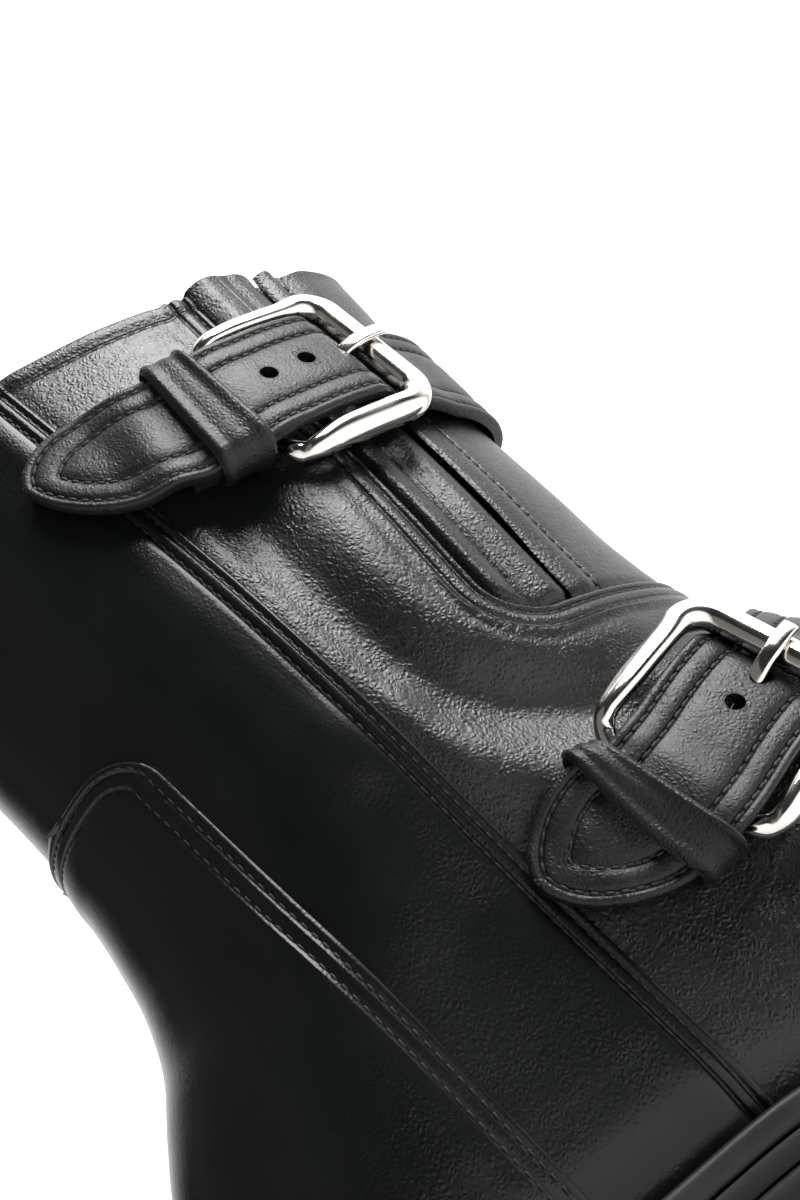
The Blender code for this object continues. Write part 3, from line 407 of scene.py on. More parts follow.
def noiseAt(tree, point, scale, detail=3.0, rough=0.5):
    inputs = {"Vector": point, "Scale": scale, "Detail": detail, "Roughness": rough}
    return addNode(tree, "ShaderNodeTexNoise", inputs).outputs["Fac"]


def cellEdges(tree, point, scale):
    inputs = {"Vector": point, "Scale": scale}
    return addNode(tree, "ShaderNodeTexVoronoi", inputs, feature="DISTANCE_TO_EDGE").outputs["Distance"]


def rampBetween(tree, factor, low, high, start=0.0, end=1.0, kind="LINEAR"):
    inputs = {"Value": factor, "From Min": start, "From Max": end, "To Min": low, "To Max": high}
    return addNode(tree, "ShaderNodeMapRange", inputs, interpolation_type=kind).outputs[0]


def mixColors(tree, factor, first, second):
    inputs = {0: factor, 6: (*first, 1), 7: (*second, 1)}
    return addNode(tree, "ShaderNodeMix", inputs, data_type="RGBA").outputs[2]


def bumpOn(tree, height, distance, strength=1.0, normal=None):
    inputs = {"Height": height, "Distance": distance, "Strength": strength}
    if normal is not None:
        inputs["Normal"] = normal
    return addNode(tree, "ShaderNodeBump", inputs).outputs["Normal"]


def stitchGroove(tree, attribute, rows, width):
    total = None
    dist = addNode(tree, "ShaderNodeAttribute", attribute_name=attribute).outputs["Fac"]
    for row in rows:
        away = mathNode(tree, "ABSOLUTE", mathNode(tree, "SUBTRACT", dist, row))
        groove = rampBetween(tree, away, -1.0, 0.0, 0.0, width, "SMOOTHSTEP")
        total = groove if total is None else mathNode(tree, "MINIMUM", total, groove)
    return total


def connect(tree, shader, sockets):
    for key, value in sockets.items():
        tree.links.new(value, shader.inputs[key])


def leather(name, look, grooves=()):
    material, tree, shader = newMaterial(name)
    cells, deep = look["cells"], look["grainDepth"]
    point = vectorMath(tree, "MULTIPLY", objectPoint(tree), look["stretch"])
    wander = addNode(tree, "ShaderNodeTexNoise", {"Vector": point, "Scale": cells * 0.35, "Detail": 0.0})
    push = vectorMath(tree, "SUBTRACT", wander.outputs["Color"], (0.5, 0.5, 0.5))
    moved = vectorMath(tree, "ADD", point, vectorMath(tree, "SCALE", push, 1.1 / cells, "Scale"))
    pebble = rampBetween(tree, cellEdges(tree, moved, cells), 0.0, 1.0, 0.0, 0.5, "SMOOTHSTEP")
    broad = noiseAt(tree, point, 38.0, 4.0, 0.55)
    depth = rampBetween(tree, noiseAt(tree, point, 130.0, 3.0, 0.6), 0.25, 1.0, 0.3, 0.7)
    pores = noiseAt(tree, point, cells * 3.1, 2.0, 0.6)
    creases = rampBetween(tree, cellEdges(tree, moved, cells * 0.31), 0.0, 1.0, 0.0, 0.16)
    normal = bumpOn(tree, creases, deep * 0.9, look["creaseShare"])
    normal = bumpOn(tree, mathNode(tree, "MULTIPLY", pebble, depth), deep, 1.0, normal)
    normal = bumpOn(tree, pores, deep * 0.1, 0.8, normal)
    for attribute, rows, width, groove in grooves:
        normal = bumpOn(tree, stitchGroove(tree, attribute, rows, width), groove, 1.0, normal)
    gloss = rampBetween(tree, broad, look["smooth"], look["rough"], 0.3, 0.7)
    gloss = mathNode(tree, "ADD", gloss, rampBetween(tree, pebble, look["crack"], 0.0))
    color = mixColors(tree, broad, look["dark"], look["light"])
    connect(tree, shader, {"Normal": normal, "Base Color": color, "Roughness": gloss})
    shader.inputs["Specular IOR Level"].default_value = look["specular"]
    return material


def plainFinish(name, look):
    material, tree, shader = newMaterial(name)
    point = objectPoint(tree)
    broad = noiseAt(tree, point, look["patches"], 4.0, 0.6)
    fine = noiseAt(tree, point, look["grain"], 3.0, 0.6)
    color = mixColors(tree, broad, look["dark"], look["light"])
    gloss = rampBetween(tree, broad, look["smooth"], look["rough"], 0.3, 0.7)
    normal = bumpOn(tree, fine, look["depth"], look["strength"])
    connect(tree, shader, {"Base Color": color, "Roughness": gloss, "Normal": normal})
    shader.inputs["Metallic"].default_value = look["metallic"]
    shader.inputs["Specular IOR Level"].default_value = look["specular"]
    return material


upperColors = {"dark": (0.0018, 0.0022, 0.0024), "light": (0.0045, 0.0052, 0.0055)}
leatherLooks = {
    "front": {**upperColors, "cells": 1150.0, "stretch": (1.0, 1.0, 0.9), "grainDepth": 0.0001, "creaseShare": 0.35,
              "crack": 0.1, "smooth": 0.24, "rough": 0.31, "specular": 0.38},
    "rear": {**upperColors, "cells": 1300.0, "stretch": (1.0, 1.0, 0.7), "grainDepth": 0.00003, "creaseShare": 0.3,
             "crack": 0.0, "smooth": 0.22, "rough": 0.28, "specular": 0.27},
    "strap": {"dark": (0.0022, 0.0025, 0.0026), "light": (0.0055, 0.006, 0.006), "cells": 1250.0,
              "stretch": (1.0, 1.0, 0.9), "grainDepth": 0.00009, "creaseShare": 0.3, "crack": 0.08,
              "smooth": 0.33, "rough": 0.42, "specular": 0.3},
}
plainLooks = {
    "liningCloth": {"patches": 60.0, "grain": 2600.0, "dark": (0.03, 0.027, 0.024), "light": (0.05, 0.045, 0.04),
                    "smooth": 0.7, "rough": 0.85, "depth": 0.00008, "strength": 0.6, "metallic": 0.0, "specular": 0.3},
    "insoleLeather": {"patches": 45.0, "grain": 1800.0, "dark": (0.05, 0.042, 0.034), "light": (0.08, 0.066, 0.052),
                      "smooth": 0.6, "rough": 0.8, "depth": 0.0001, "strength": 0.6, "metallic": 0.0, "specular": 0.3},
    "soleRubber": {"patches": 70.0, "grain": 1500.0, "dark": (0.004, 0.004, 0.004), "light": (0.01, 0.0095, 0.009),
                   "smooth": 0.5, "rough": 0.68, "depth": 0.00008, "strength": 0.5, "metallic": 0.0, "specular": 0.22},
    "weltFinish": {"patches": 90.0, "grain": 1300.0, "dark": (0.007, 0.007, 0.007), "light": (0.016, 0.015, 0.015),
                   "smooth": 0.4, "rough": 0.55, "depth": 0.00006, "strength": 0.5, "metallic": 0.0, "specular": 0.28},
    "blackThread": {"patches": 300.0, "grain": 4200.0, "dark": (0.003, 0.003, 0.0035), "light": (0.008, 0.008, 0.009),
                    "smooth": 0.5, "rough": 0.65, "depth": 0.00006, "strength": 0.7, "metallic": 0.0, "specular": 0.3},
    "platedMetal": {"patches": 160.0, "grain": 900.0, "dark": (0.66, 0.625, 0.58), "light": (0.8, 0.77, 0.72),
                    "smooth": 0.1, "rough": 0.19, "depth": 0.00001, "strength": 0.25, "metallic": 1.0, "specular": 0.5},
}
plain = {name: plainFinish(name, look) for name, look in plainLooks.items()}
print("materials ready")

# Sewing: one stitch is modelled once and copied along each row
sewing = {"pitch": 2.4, "length": 1.7, "radius": 0.3, "flat": 1.15, "sink": 0.12, "blunt": 0.6}
stitchRows = {"upper": [], "strap": []}


def sewRow(group, path, normals):
    run = pathRun(path)
    count = max(2, int(run[-1] / sewing["pitch"]))
    at = (np.arange(count) + 0.5) * run[-1] / count
    along = unit(pathAt(at + 0.5, run, path) - pathAt(at - 0.5, run, path))
    side = unit(np.cross(unit(pathAt(at, run, normals)), along))
    stitchRows[group].append((pathAt(at, run, path), along, side, np.cross(along, side)))


def sewOnLast(x, z, outer, offset):
    normals = lastNormal(x, z, outer)
    sewRow("upper", onLast(x, z, outer) + normals * (np.asarray(offset, float) - sewing["sink"])[..., None], normals)


def makeStitches(group, name):
    bpy.ops.mesh.primitive_uv_sphere_add(segments=6, ring_count=5, radius=1.0)
    model = bpy.context.object
    model.data.transform(Matrix.Rotation(quarter, 4, "Y"))
    shape = shapeOf(model)
    shape[:, 0] = np.sign(shape[:, 0]) * np.abs(shape[:, 0]) ** sewing["blunt"]
    shape = shape * (0.5 * sewing["length"], sewing["radius"] * sewing["flat"], sewing["radius"])
    faces = [tuple(p.vertices) for p in model.data.polygons]
    bpy.data.objects.remove(model)
    made = [(spots[:, None] + along[:, None] * shape[None, :, :1] + side[:, None] * shape[None, :, 1:2]
             + up[:, None] * shape[None, :, 2:]) for spots, along, side, up in stitchRows[group]]
    places = np.concatenate(made)
    corners = [tuple(first + k for k in face)
               for first in range(0, len(places) * len(shape), len(shape)) for face in faces]
    mesh = bpy.data.meshes.new(name)
    mesh.from_pydata(toPart(places.reshape(-1, 3)).tolist(), [], corners)
    piece = bpy.data.objects.new(name, mesh)
    bpy.context.scene.collection.objects.link(piece)
    dress(piece, [plain["blackThread"]], (), 60.0)


# Lines on the upper: groove and edge each have a depth and a width
sideSeam = {"x": 68.0, "lean": -0.189, "at": 130.0, "step": 1.1, "rows": (1.7, 4.1),
            "groove": (0.5, 0.6), "edge": (0.4, 0.45)}
window = {"x": 95.0, "lean": -0.069, "at": 170.0, "bottom": 127.0, "round": 10.0, "rows": (1.6, 4.5), "band": 5.6,
          "bandRise": 0.55, "groove": (0.55, 0.62), "edge": (0.45, 0.5)}
collar = {"binding": 2.6, "rise": 0.45, "row": 4.4, "edge": (0.7, 0.8)}
counter = {"x": 44.7, "lean": -0.18, "at": 90.0, "top": 146.0, "round": 9.0, "offset": 2.75, "thick": 1.5,
           "rows": (1.7, 4.3), "groove": (0.16, 0.55), "edge": (0.4, 0.45)}
nearEdge = np.array((0.0, 0.25, 0.6, 1.0, 1.5, 2.1, 2.8, 3.5, 4.2, 5.0, 5.9, 7.0))  # grid lines beside an edge
sewnFrom, sewnTo = 42.0, 219.0  # heights between which the long seams are sewn

# Soft creases on the outer side: a trough where the depth is above zero and a ridge where it is below,
# with its width and the points (x, z) that its middle passes
frontCreases = (
    (2.4, 6.4, ((71.0, 176.0), (71.5, 163.0), (72.5, 152.0), (74.0, 142.0), (77.0, 131.0), (81.5, 121.5),
                (88.0, 115.0), (96.5, 109.5), (108.0, 103.0))),
    (-1.0, 5.6, ((87.0, 172.0), (86.0, 160.0), (85.0, 147.0), (86.0, 138.0), (89.5, 131.0), (95.0, 124.5),
                 (103.0, 120.0), (116.0, 118.5))),
    (-1.1, 6.2, ((70.0, 122.0), (75.0, 112.0), (82.5, 103.0), (91.0, 95.0))),
    (0.7, 5.0, ((88.0, 204.0), (86.0, 176.0))),
)
rearCreases = (
    (0.7, 7.0, ((58.0, 165.0), (64.0, 135.0))),
    (0.5, 6.0, ((40.0, 170.0), (47.0, 150.0))),
    (0.6, 7.0, ((62.0, 110.0), (66.0, 90.0))),
)


def creaseField(x, z, creases):
    total = np.zeros_like(x)
    for depth, width, points in creases:
        nearest = np.full_like(x, np.inf)
        for (x0, z0), (x1, z1) in zip(points[:-1], points[1:]):
            t = ((x - x0) * (x1 - x0) + (z - z0) * (z1 - z0)) / ((x1 - x0) ** 2 + (z1 - z0) ** 2)
            near = np.clip(t, 0.0, 1.0)
            nearest = np.minimum(nearest, np.hypot(x - x0 - near * (x1 - x0), z - z0 - near * (z1 - z0)))
        total = total - depth * bump(nearest, 0.0, width)
    return total


def windowDistance(x, z):
    return cornerDistance(leanLine(window, z) - x, window["bottom"] - z, window["round"])


def counterDistance(x, z):
    return -cornerDistance(x - leanLine(counter, z), z - counter["top"], counter["round"])


def fallAt(line, away):
    deep, wide = line["edge"]
    return deep * edgeFall(away, wide)


def sewnRelief(line, away):
    # the cut edge falls away, and each row of sewing lies in a groove
    deep, wide = line["groove"]
    return -fallAt(line, away) - sum(deep * bump(away, row, wide) for row in line["rows"])


def collarRelief(z):
    below = last["collar"] - z
    binding = collar["rise"] * smoothStep(below / 0.6) * edgeFall(below - collar["binding"], 0.5)
    return binding - 0.2 * bump(below, collar["row"], 0.6) - fallAt(collar, below)


def frontField(x, z):
    away = windowDistance(x, z)
    relief = window["bandRise"] * edgeFall(away - window["band"], 0.9) + sewnRelief(window, away)
    relief = relief + creaseField(x, z, frontCreases) - 0.3 * bump(away, 6.6, 1.0)
    ahead = x - leanLine(sideSeam, z)
    return relief * climb(ahead, -1.0, 6.0) - 0.35 * edgeFall(ahead, 3.0) + collarRelief(z)


def rearField(x, z):
    behind = leanLine(sideSeam, z) - x
    relief = sideSeam["step"] + sewnRelief(sideSeam, behind) + 0.25 * bump(behind, 8.0, 2.5)
    return relief + creaseField(x, z, rearCreases) * smoothStep(behind / 8.0) + collarRelief(z)


def counterField(x, z):
    edge = counterDistance(x, z)
    return counter["offset"] + sewnRelief(counter, edge) + 0.25 * bump(edge, 8.0, 2.6)


def collarRows(low, high, step, dense):
    edge = high - dense[::-1]
    return np.concatenate((np.arange(low, edge[0] - 0.5 * step, step), edge))


def finishPanel(panel, thick, finish, node, angle=50.0, lined=True):
    # a sheet gets its thickness inward, and a lining on that side
    finishWith(panel, "SOLIDIFY", thickness=thick * 0.001, offset=-1.0, material_offset=int(lined))
    dress(panel, [finish, plain["liningCloth"]] if lined else [finish], (node,), angle)


def raisePanel(panel, field, values):
    # the relief goes on along the normals, and the distances for the grooves are kept with it
    places, normals = turnOut(panel, fromAxis)
    x, z = places[:, 0], places[:, 2]
    for name, value in values.items():
        setValue(panel, name, value(x, z))
    setPlaces(panel, places + normals * field(x, z)[:, None])


def belowCollar(x, z):
    return last["collar"] - z


collarGroove = ("collarEdge", (collar["row"],), 0.7, 0.0002)


def makeFrontPanel():
    look = {"tuck": 2.5, "rows": 78, "free": 8.0, "tall": 86.0, "cornerColumns": 28, "columns": 74, "cornerRows": 12,
            "sideStep": 1.35, "thick": 1.7}
    bottom, turn = window["bottom"], window["round"]
    corner = float(leanLine(window, bottom + turn)) + turn
    seamTop = float(leanLine(sideSeam, bottom)) - look["tuck"]
    toCorner = np.concatenate((np.linspace(seamTop, corner - nearEdge[-1], look["cornerColumns"])[:-1],
                               corner - nearEdge[::-1]))
    # rows below the opening
    steps = np.concatenate((np.linspace(0.0, 1.0 - look["free"] / look["tall"], look["rows"])[:-1],
                            1.0 - nearEdge[::-1] / look["tall"]))
    fronts = [frontAt(lambda x: float(heightShare(x, f, bottom))) for f in steps]
    reach = fronts[-1] - seamTop
    turns = np.linspace(math.asin((corner - seamTop) / reach), quarter, look["columns"])
    columns = np.concatenate(((toCorner - seamTop) / reach, np.sin(turns)[1:]))
    grid = []
    for f, front in zip(steps, fronts):
        x = seamTop + (front - seamTop) * columns
        for i in range(12):
            seam = leanLine(sideSeam, heightShare(x, f, bottom)) - look["tuck"]
            x = seam + (front - seam) * columns
        grid.append(roundLast(x, heightShare(x, f, bottom)))
    pieces = [gridSheet("frontPanel", grid)]
    # the two sides behind the opening
    cornerRows = bottom + turn * (1.0 - np.cos(np.linspace(0.0, quarter, look["cornerRows"])))
    heights = np.concatenate((cornerRows, collarRows(bottom + turn + look["sideStep"], last["collar"],
                                                     look["sideStep"], nearEdge)))
    share = (toCorner - toCorner[0]) / (toCorner[-1] - toCorner[0])
    for outer in bothSides:
        grid = []
        for z in heights:
            seam = float(leanLine(sideSeam, z)) - look["tuck"]
            edge = float(leanLine(window, z))
            low = z - bottom
            if low < turn:
                edge = corner - math.sqrt(max(0.0, turn ** 2 - (turn - low) ** 2))
            grid.append(onLast(seam + (edge - seam) * share, z, outer))
        pieces.append(gridSheet("side", grid))
    panel = joinPieces(pieces, "frontPanel")
    weld(panel, 0.00002)
    raisePanel(panel, frontField, {"windowEdge": windowDistance, "collarEdge": belowCollar})
    panelGrooves = (("windowEdge", window["rows"], 0.75, 0.0003), collarGroove)
    finishPanel(panel, look["thick"], leather("frontLeather", leatherLooks["front"], panelGrooves), "upper")


def makeRearQuarter():
    look = {"step": 1.35, "tall": 186.0, "columns": 62, "start": 40.0, "thick": 2.8}
    shares = np.sin(quarter * np.linspace(0.0, 1.0, look["columns"]))
    count = len(nearEdge)
    grid = []
    for f in collarRows(0.0, 1.0, look["step"] / look["tall"], nearEdge / look["tall"]):
        x = np.full(look["columns"] + count - 1, look["start"])
        for i in range(14):
            z = heightShare(x, f, last["collar"])
            seam = leanLine(sideSeam, z)
            inner = seam - nearEdge[-1]
            back = level("back", levelHeight(x, z))
            spread = inner + (back - inner) * np.concatenate((np.zeros(count - 1), shares))
            x = np.concatenate((seam[:count] - nearEdge, spread[count:]))
        grid.append(roundLast(x, heightShare(x, f, last["collar"])))
    panel = gridSheet("rearQuarter", grid)
    weld(panel)
    raisePanel(panel, rearField, {"seamEdge": lambda x, z: leanLine(sideSeam, z) - x, "collarEdge": belowCollar})
    panelGrooves = (("seamEdge", sideSeam["rows"], 0.75, 0.0003), collarGroove)
    finishPanel(panel, look["thick"], leather("rearLeather", leatherLooks["rear"], panelGrooves), "upper")


def sewUpper():
    look = {"turnX": 60.0, "short": 0.01, "pastSeam": 6.5, "beforeWindow": 6.0, "offSeam": 1.5, "offFeather": 1.5}
    bottom, turn, turnX = window["bottom"], window["round"], look["turnX"]
    midX = float(leanLine(window, bottom + turn)) + turn
    turns = np.linspace(math.pi, 1.5 * math.pi, 24)[1:]
    for outer in bothSides:
        for row in sideSeam["rows"]:
            z = np.linspace(sewnFrom, sewnTo, 240)
            x = leanLine(sideSeam, z) - row
            z = np.maximum(z, feather(x) + look["offFeather"])
            sewOnLast(x, z, outer, rearField(x, z))
        # down beside the opening, round its corner and on to the front
        for row in window["rows"]:
            z = np.linspace(sewnTo, bottom + turn, 160)
            reach = frontAt(lambda x: bottom - row) - turnX
            tail = np.linspace(math.asin((midX - turnX) / reach), quarter - look["short"], 60)[1:]
            x = np.concatenate((leanLine(window, z) - row, midX + (turn + row) * np.cos(turns),
                                turnX + reach * np.sin(tail)))
            z = np.concatenate((z, bottom + turn + (turn + row) * np.sin(turns), np.full(len(tail), bottom - row)))
            sewOnLast(x, z, outer, frontField(x, z))
        z = last["collar"] - collar["row"]
        seam = float(leanLine(sideSeam, z))
        start = seam - look["pastSeam"]
        behind = start + (float(level("back", z)) + 0.02 - start) * np.sin(quarter * np.linspace(0.0, 1.0, 90))
        ahead = np.linspace(seam + look["offSeam"], float(leanLine(window, z)) - look["beforeWindow"], 40)
        for x, field in ((behind, rearField), (ahead, frontField)):
            sewOnLast(x, np.full(len(x), z), outer, field(x, np.full(len(x), z)))


# Opening: folded gusset and tongue, with the distance along from the window's edge and the height of each fold
openingFolds = {
    "gusset": ((-6.0, -2.5), (0.4, -2.5), (1.0, -1.2), (2.0, -0.3), (3.0, -0.1), (4.5, -0.3), (6.0, -0.8), (6.9, -1.15),
               (7.35, -0.7), (7.8, -0.75), (8.2, -1.5), (9.0, -1.35), (10.2, -0.8), (11.6, -0.35), (12.8, -0.3),
               (13.8, -0.6), (14.6, -1.1), (15.2, -2.4), (17.5, -2.7)),
    "deep": -2.5, "below": -3.4, "front": (17.5, -2.7), "ridge": 7.6, "tongue": 16.0, "tongueRow": 5.4, "thick": 1.2,
    "tongueThick": 1.5, "top": 226.0, "low": 122.0, "puff": (8.0, 7.6), "puffFrom": (198.0, 16.0), "rim": (214.0, 12.0),
    "tongueRise": (200.0, 18.0), "slitFoot": 4.0, "slitLength": 22.0,
}


def alongOpening(x, z):
    return x - leanLine(window, np.minimum(z, last["collar"]))


def openingPoints(heights, along, frontColumns):
    rows = []
    turns = np.linspace(0.0, quarter, frontColumns + 1)[1:]
    for z in heights:
        held = min(z, last["collar"])
        edge = float(leanLine(window, held))
        front = float(level("front", levelHeight(135.0, held)))
        base = edge + along[-1]
        rows.append(roundLast(np.concatenate((edge + along, base + (front - base) * np.sin(turns))), z))
    return rows


def foldOffset(x, z):
    offset = tableCurve(openingFolds["gusset"], alongOpening(x, z))
    deep = openingFolds["deep"]
    inside = -windowDistance(x, np.minimum(z, last["collar"]))
    offset = np.minimum(offset, deep + (offset - deep) * climb(inside, 0.6, 2.2))
    return np.where(z < window["bottom"], openingFolds["below"], offset)


def gathers(x, z):
    # above the strap the two strips puff out as one round fold
    along = alongOpening(x, z)
    rise = climb(z, *openingFolds["puffFrom"]) * (along > -1.0) * (along < openingFolds["tongue"])
    puff = -1.5 + 3.0 * roundHump(along, *openingFolds["puff"])
    puff = puff + 0.5 * bump(along, 4.4, 2.0) - 0.5 * bump(along, 9.6, 1.6)
    return rise * (puff - foldOffset(x, z))


def makeGusset():
    folds = openingFolds
    along = np.concatenate((np.arange(-6.0, 0.4, 1.6), np.arange(0.4, 17.6, 0.42)))
    heights = np.concatenate((np.linspace(folds["low"], window["bottom"], 5)[:-1],
                              np.linspace(window["bottom"], folds["top"], 82)))
    gusset = gridSheet("frontGusset", openingPoints(heights, along, 10))
    places, normals = turnOut(gusset, fromAxis)
    x, z = places[:, 0], places[:, 2]
    front = alongOpening(x, z)
    offset = np.where(front > folds["front"][0], folds["front"][1], foldOffset(x, z) + gathers(x, z))
    rim = climb(z, *folds["rim"]) * (1.2 * roundHump(front, *folds["puff"]) - 0.6)
    places = places + normals * offset[:, None]
    places[:, 2] += rim
    setValue(gusset, "foldAlong", front)
    setPlaces(gusset, places)
    finish = leather("gussetLeather", leatherLooks["front"], (("foldAlong", (folds["ridge"],), 0.5, 0.0003),))
    finishPanel(gusset, folds["thick"], finish, "front_gusset", 55.0)


def makeTongue():
    folds = openingFolds
    heights = np.linspace(window["bottom"] + 0.7, folds["top"], 80)
    tongue = gridSheet("frontTongue", openingPoints(heights, folds["tongue"] + nearEdge, 26))
    places, normals = turnOut(tongue, fromAxis)
    x, z = places[:, 0], places[:, 2]
    row = folds["tongueRow"]
    edge = alongOpening(x, z) - folds["tongue"]
    low = z - window["bottom"]
    offset = -0.2 - 0.4 * edgeFall(edge, 0.5) - 0.4 * bump(edge, row, 0.55)
    offset = offset + 0.25 * bump(edge, 3.0, 1.8) - 0.9 * edgeFall(low, 2.5)
    puff = 0.8 * bump(edge, 2.6, 2.2) - 0.5 * bump(edge, row, 1.4) + 0.8 * climb(edge, 6.0, 5.0)
    offset = offset + climb(z, *folds["tongueRise"]) * puff
    # the slit beside the tongue closes toward its foot
    places[:, 0] -= 0.8 * edgeFall(low - folds["slitFoot"], folds["slitLength"]) * edgeFall(edge, 3.0)
    places[:, 2] += climb(z, *folds["rim"]) * (0.9 * bump(edge, 2.6, 2.4) + 0.9 * climb(edge, 6.0, 6.0) - 0.5)
    setValue(tongue, "tongueEdge", edge)
    setPlaces(tongue, places + normals * offset[:, None])
    finish = leather("tongueLeather", leatherLooks["front"], (("tongueEdge", (row,), 0.7, 0.0003),))
    finishPanel(tongue, folds["tongueThick"], finish, "front_tongue", 55.0)
    for outer in bothSides:
        z = np.linspace(128.0, 223.0, 150)
        sewOnLast(leanLine(window, z) + folds["tongue"] + row, z, outer, np.full(len(z), -0.3))


def makeCounter():
    top, turn = counter["top"], counter["round"]
    look = {"rows": 70, "columns": 68, "offFeather": 0.6, "short": 0.02}
    tops = top - nearEdge[::-1]
    low = last["seat"] + look["offFeather"]
    shares = np.sin(quarter * np.linspace(0.0, 1.0, look["columns"]))
    grid = []
    for z in np.concatenate((low + np.linspace(0.0, 1.0, look["rows"]) * (tops[0] - low), tops)):
        edge = float(leanLine(counter, z))
        high = z - top + turn
        if high > 0.0:
            edge = edge - turn + math.sqrt(max(0.0, turn ** 2 - high ** 2))
        inner = edge - nearEdge[-1]
        back = float(level("back", z))
        x = np.concatenate((edge - nearEdge[:-1], inner + (back - inner) * shares))
        grid.append(roundLast(x, z + (feather(x) - last["seat"]) * leanShare(z)))
    panel = gridSheet("heelCounter", grid)
    weld(panel)
    raisePanel(panel, counterField, {"counterEdge": counterDistance})
    finish = leather("counterLeather", leatherLooks["rear"], (("counterEdge", counter["rows"], 0.75, 0.0003),))
    finishPanel(panel, counter["thick"], finish, "heel_counter", lined=False)
    turns = np.linspace(0.0, quarter, 14)[1:]
    midX = float(leanLine(counter, top - turn)) - turn
    for outer in bothSides:
        for row in counter["rows"]:
            z = np.linspace(sewnFrom, top - turn, 120)
            back = float(level("back", top - row))
            tail = back + look["short"] + (midX - back) * (1.0 - np.sin(np.linspace(0.0, quarter, 30)[1:]))
            x = np.concatenate((leanLine(counter, z) - row, midX + (turn - row) * np.cos(turns), tail))
            z = np.concatenate((z, top - turn + (turn - row) * np.sin(turns), np.full(len(tail), top - row)))
            sewOnLast(x, z, outer, counterField(x, z))


# Straps: s runs from the middle of the front toward the tip, b across, n off the last
strapSizes = {
    "half": 13.0, "thick": 2.4, "seat": 1.1, "tipRound": 20.0, "tipPower": 2.0, "tipShape": 0.62, "tipLift": 2.4,
    "hole": 1.7, "slot": (6.4, 3.0, 2.0), "over": 7.8, "under": 3.2, "onChape": 4.8, "keeperAt": 7.5, "step": 1.2,
    "rows": (2.0, 6.2), "groove": (0.42, 0.5), "rim": 0.9,
    "edges": (0.0, 0.12, 0.35, 0.7, 1.1, 1.5, 1.9, 2.3, 2.8, 3.5, 4.4, 5.2, 5.7, 6.1, 6.6, 7.3, 8.6, 10.1, 11.6, 13.0),
}
straps = {
    "upper": {"line": ((30, 197.0), (42, 194.0), (56, 189.6), (72, 186.8), (84, 186.4), (105, 188.0), (125, 188.8),
                       (140, 189.0)),
              "tipX": 43.0, "heelX": 81.5, "chapeX": 66.0, "innerX": 62.0, "lift": 0.0, "crest": 7.8,
              "holes": (4.9, 12.8)},
    "lower": {"line": ((55, 87.9), (73, 86.6), (86, 85.6), (98, 85.9), (112, 88.2), (128, 92.4), (160, 104.4)),
              "tipX": 73.0, "heelX": 101.5, "chapeX": 86.4, "innerX": 80.0, "lift": 1.1, "crest": 6.9,
              "holes": (14.2,)},
}
buckleSizes = {"length": 27.0, "half": 17.0, "round": 5.5, "endRadius": 2.8, "heelRadius": 1.5, "thinHalf": 12.3,
               "sideWide": 2.9, "sideSlim": 2.0, "tilt": math.radians(45.0), "bow": 2.0, "heelOffset": 4.4, "gap": 0.3}
laidAcross = np.linspace(-16.0, 16.0, 17)  # lines along the strap at which its place on the last is worked out
centre = 8  # the middle one of them


def strapHeight(line, x, b):
    rise = tableCurve(line, x + 0.5) - tableCurve(line, x - 0.5)
    return tableCurve(line, x) + b * np.sqrt(1.0 + rise * rise)


def strapSurface(row, outer, t, b):
    end = row["tipX"] if outer else row["innerX"]
    front = frontAt(lambda x: strapHeight(row["line"], x, b), 135.0, 0.6, 60)
    x = end + (front - end) * np.cos(quarter * np.asarray(t, float))
    z = strapHeight(row["line"], x, b)
    return np.stack((x, sideY(x, levelHeight(x, z), outer), z), axis=-1)


def strapRun(name):
    row = straps[name]
    turns = np.linspace(0.0, 1.0, 481)
    run = {"row": row, "sheets": {}, "reach": {}}
    for outer in bothSides:
        sheets = np.stack([strapSurface(row, outer, turns, b) for b in laidAcross], axis=1)
        run["sheets"][outer] = sheets
        run["reach"][outer] = pathRun(sheets[:, centre])
    along = run["sheets"][True][:, centre, 0]
    run["tip"], run["inner"] = (float(run["reach"][outer][-1]) for outer in bothSides)
    for key in ("heel", "chape"):
        run[key] = float(np.interp(-row[key + "X"], -along, run["reach"][True]))
    run["end"] = run["heel"] - buckleSizes["length"]
    run["keeper"] = run["heel"] + strapSizes["keeperAt"]
    run["anchor"] = laidSheet(run, [run["heel"]])[0, centre]
    middle = laidSheet(run, [0.5 * (run["heel"] + run["end"])])[0]
    chord = unit(laidSheet(run, [run["end"]])[0, centre] - run["anchor"])
    run["wide"] = squareTo(middle[centre + 5] - middle[centre - 5], chord)
    return run


def squareTo(vector, axis):
    return unit(vector - axis * float(vector @ axis))


def laidSheet(run, s):
    # places across the strap at each s, on the last itself
    s = np.asarray(s, float)
    sheet = np.zeros((len(s), len(laidAcross), 3))
    for outer in bothSides:
        mine = (s >= 0.0) == outer
        laid, reach = run["sheets"][outer], run["reach"][outer]
        at = np.interp(np.abs(s[mine]), reach, np.arange(len(reach)))
        low = np.clip(at.astype(int), 0, len(reach) - 2)
        share = (at - low)[:, None, None]
        sheet[mine] = laid[low] * (1.0 - share) + laid[low + 1] * share
    return sheet


def strapNormals(run, s):
    s = np.asarray(s, float)
    along = laidSheet(run, s + 0.6)[:, centre] - laidSheet(run, s - 0.6)[:, centre]
    here = laidSheet(run, s)
    normal = unit(np.cross(along, here[:, centre + 2] - here[:, centre - 2]))
    outward = here[:, centre] * (1.0, 1.0, 0.0) - (75.0, 0.0, 0.0)
    return normal * np.sign((normal * outward).sum(axis=1))[:, None]


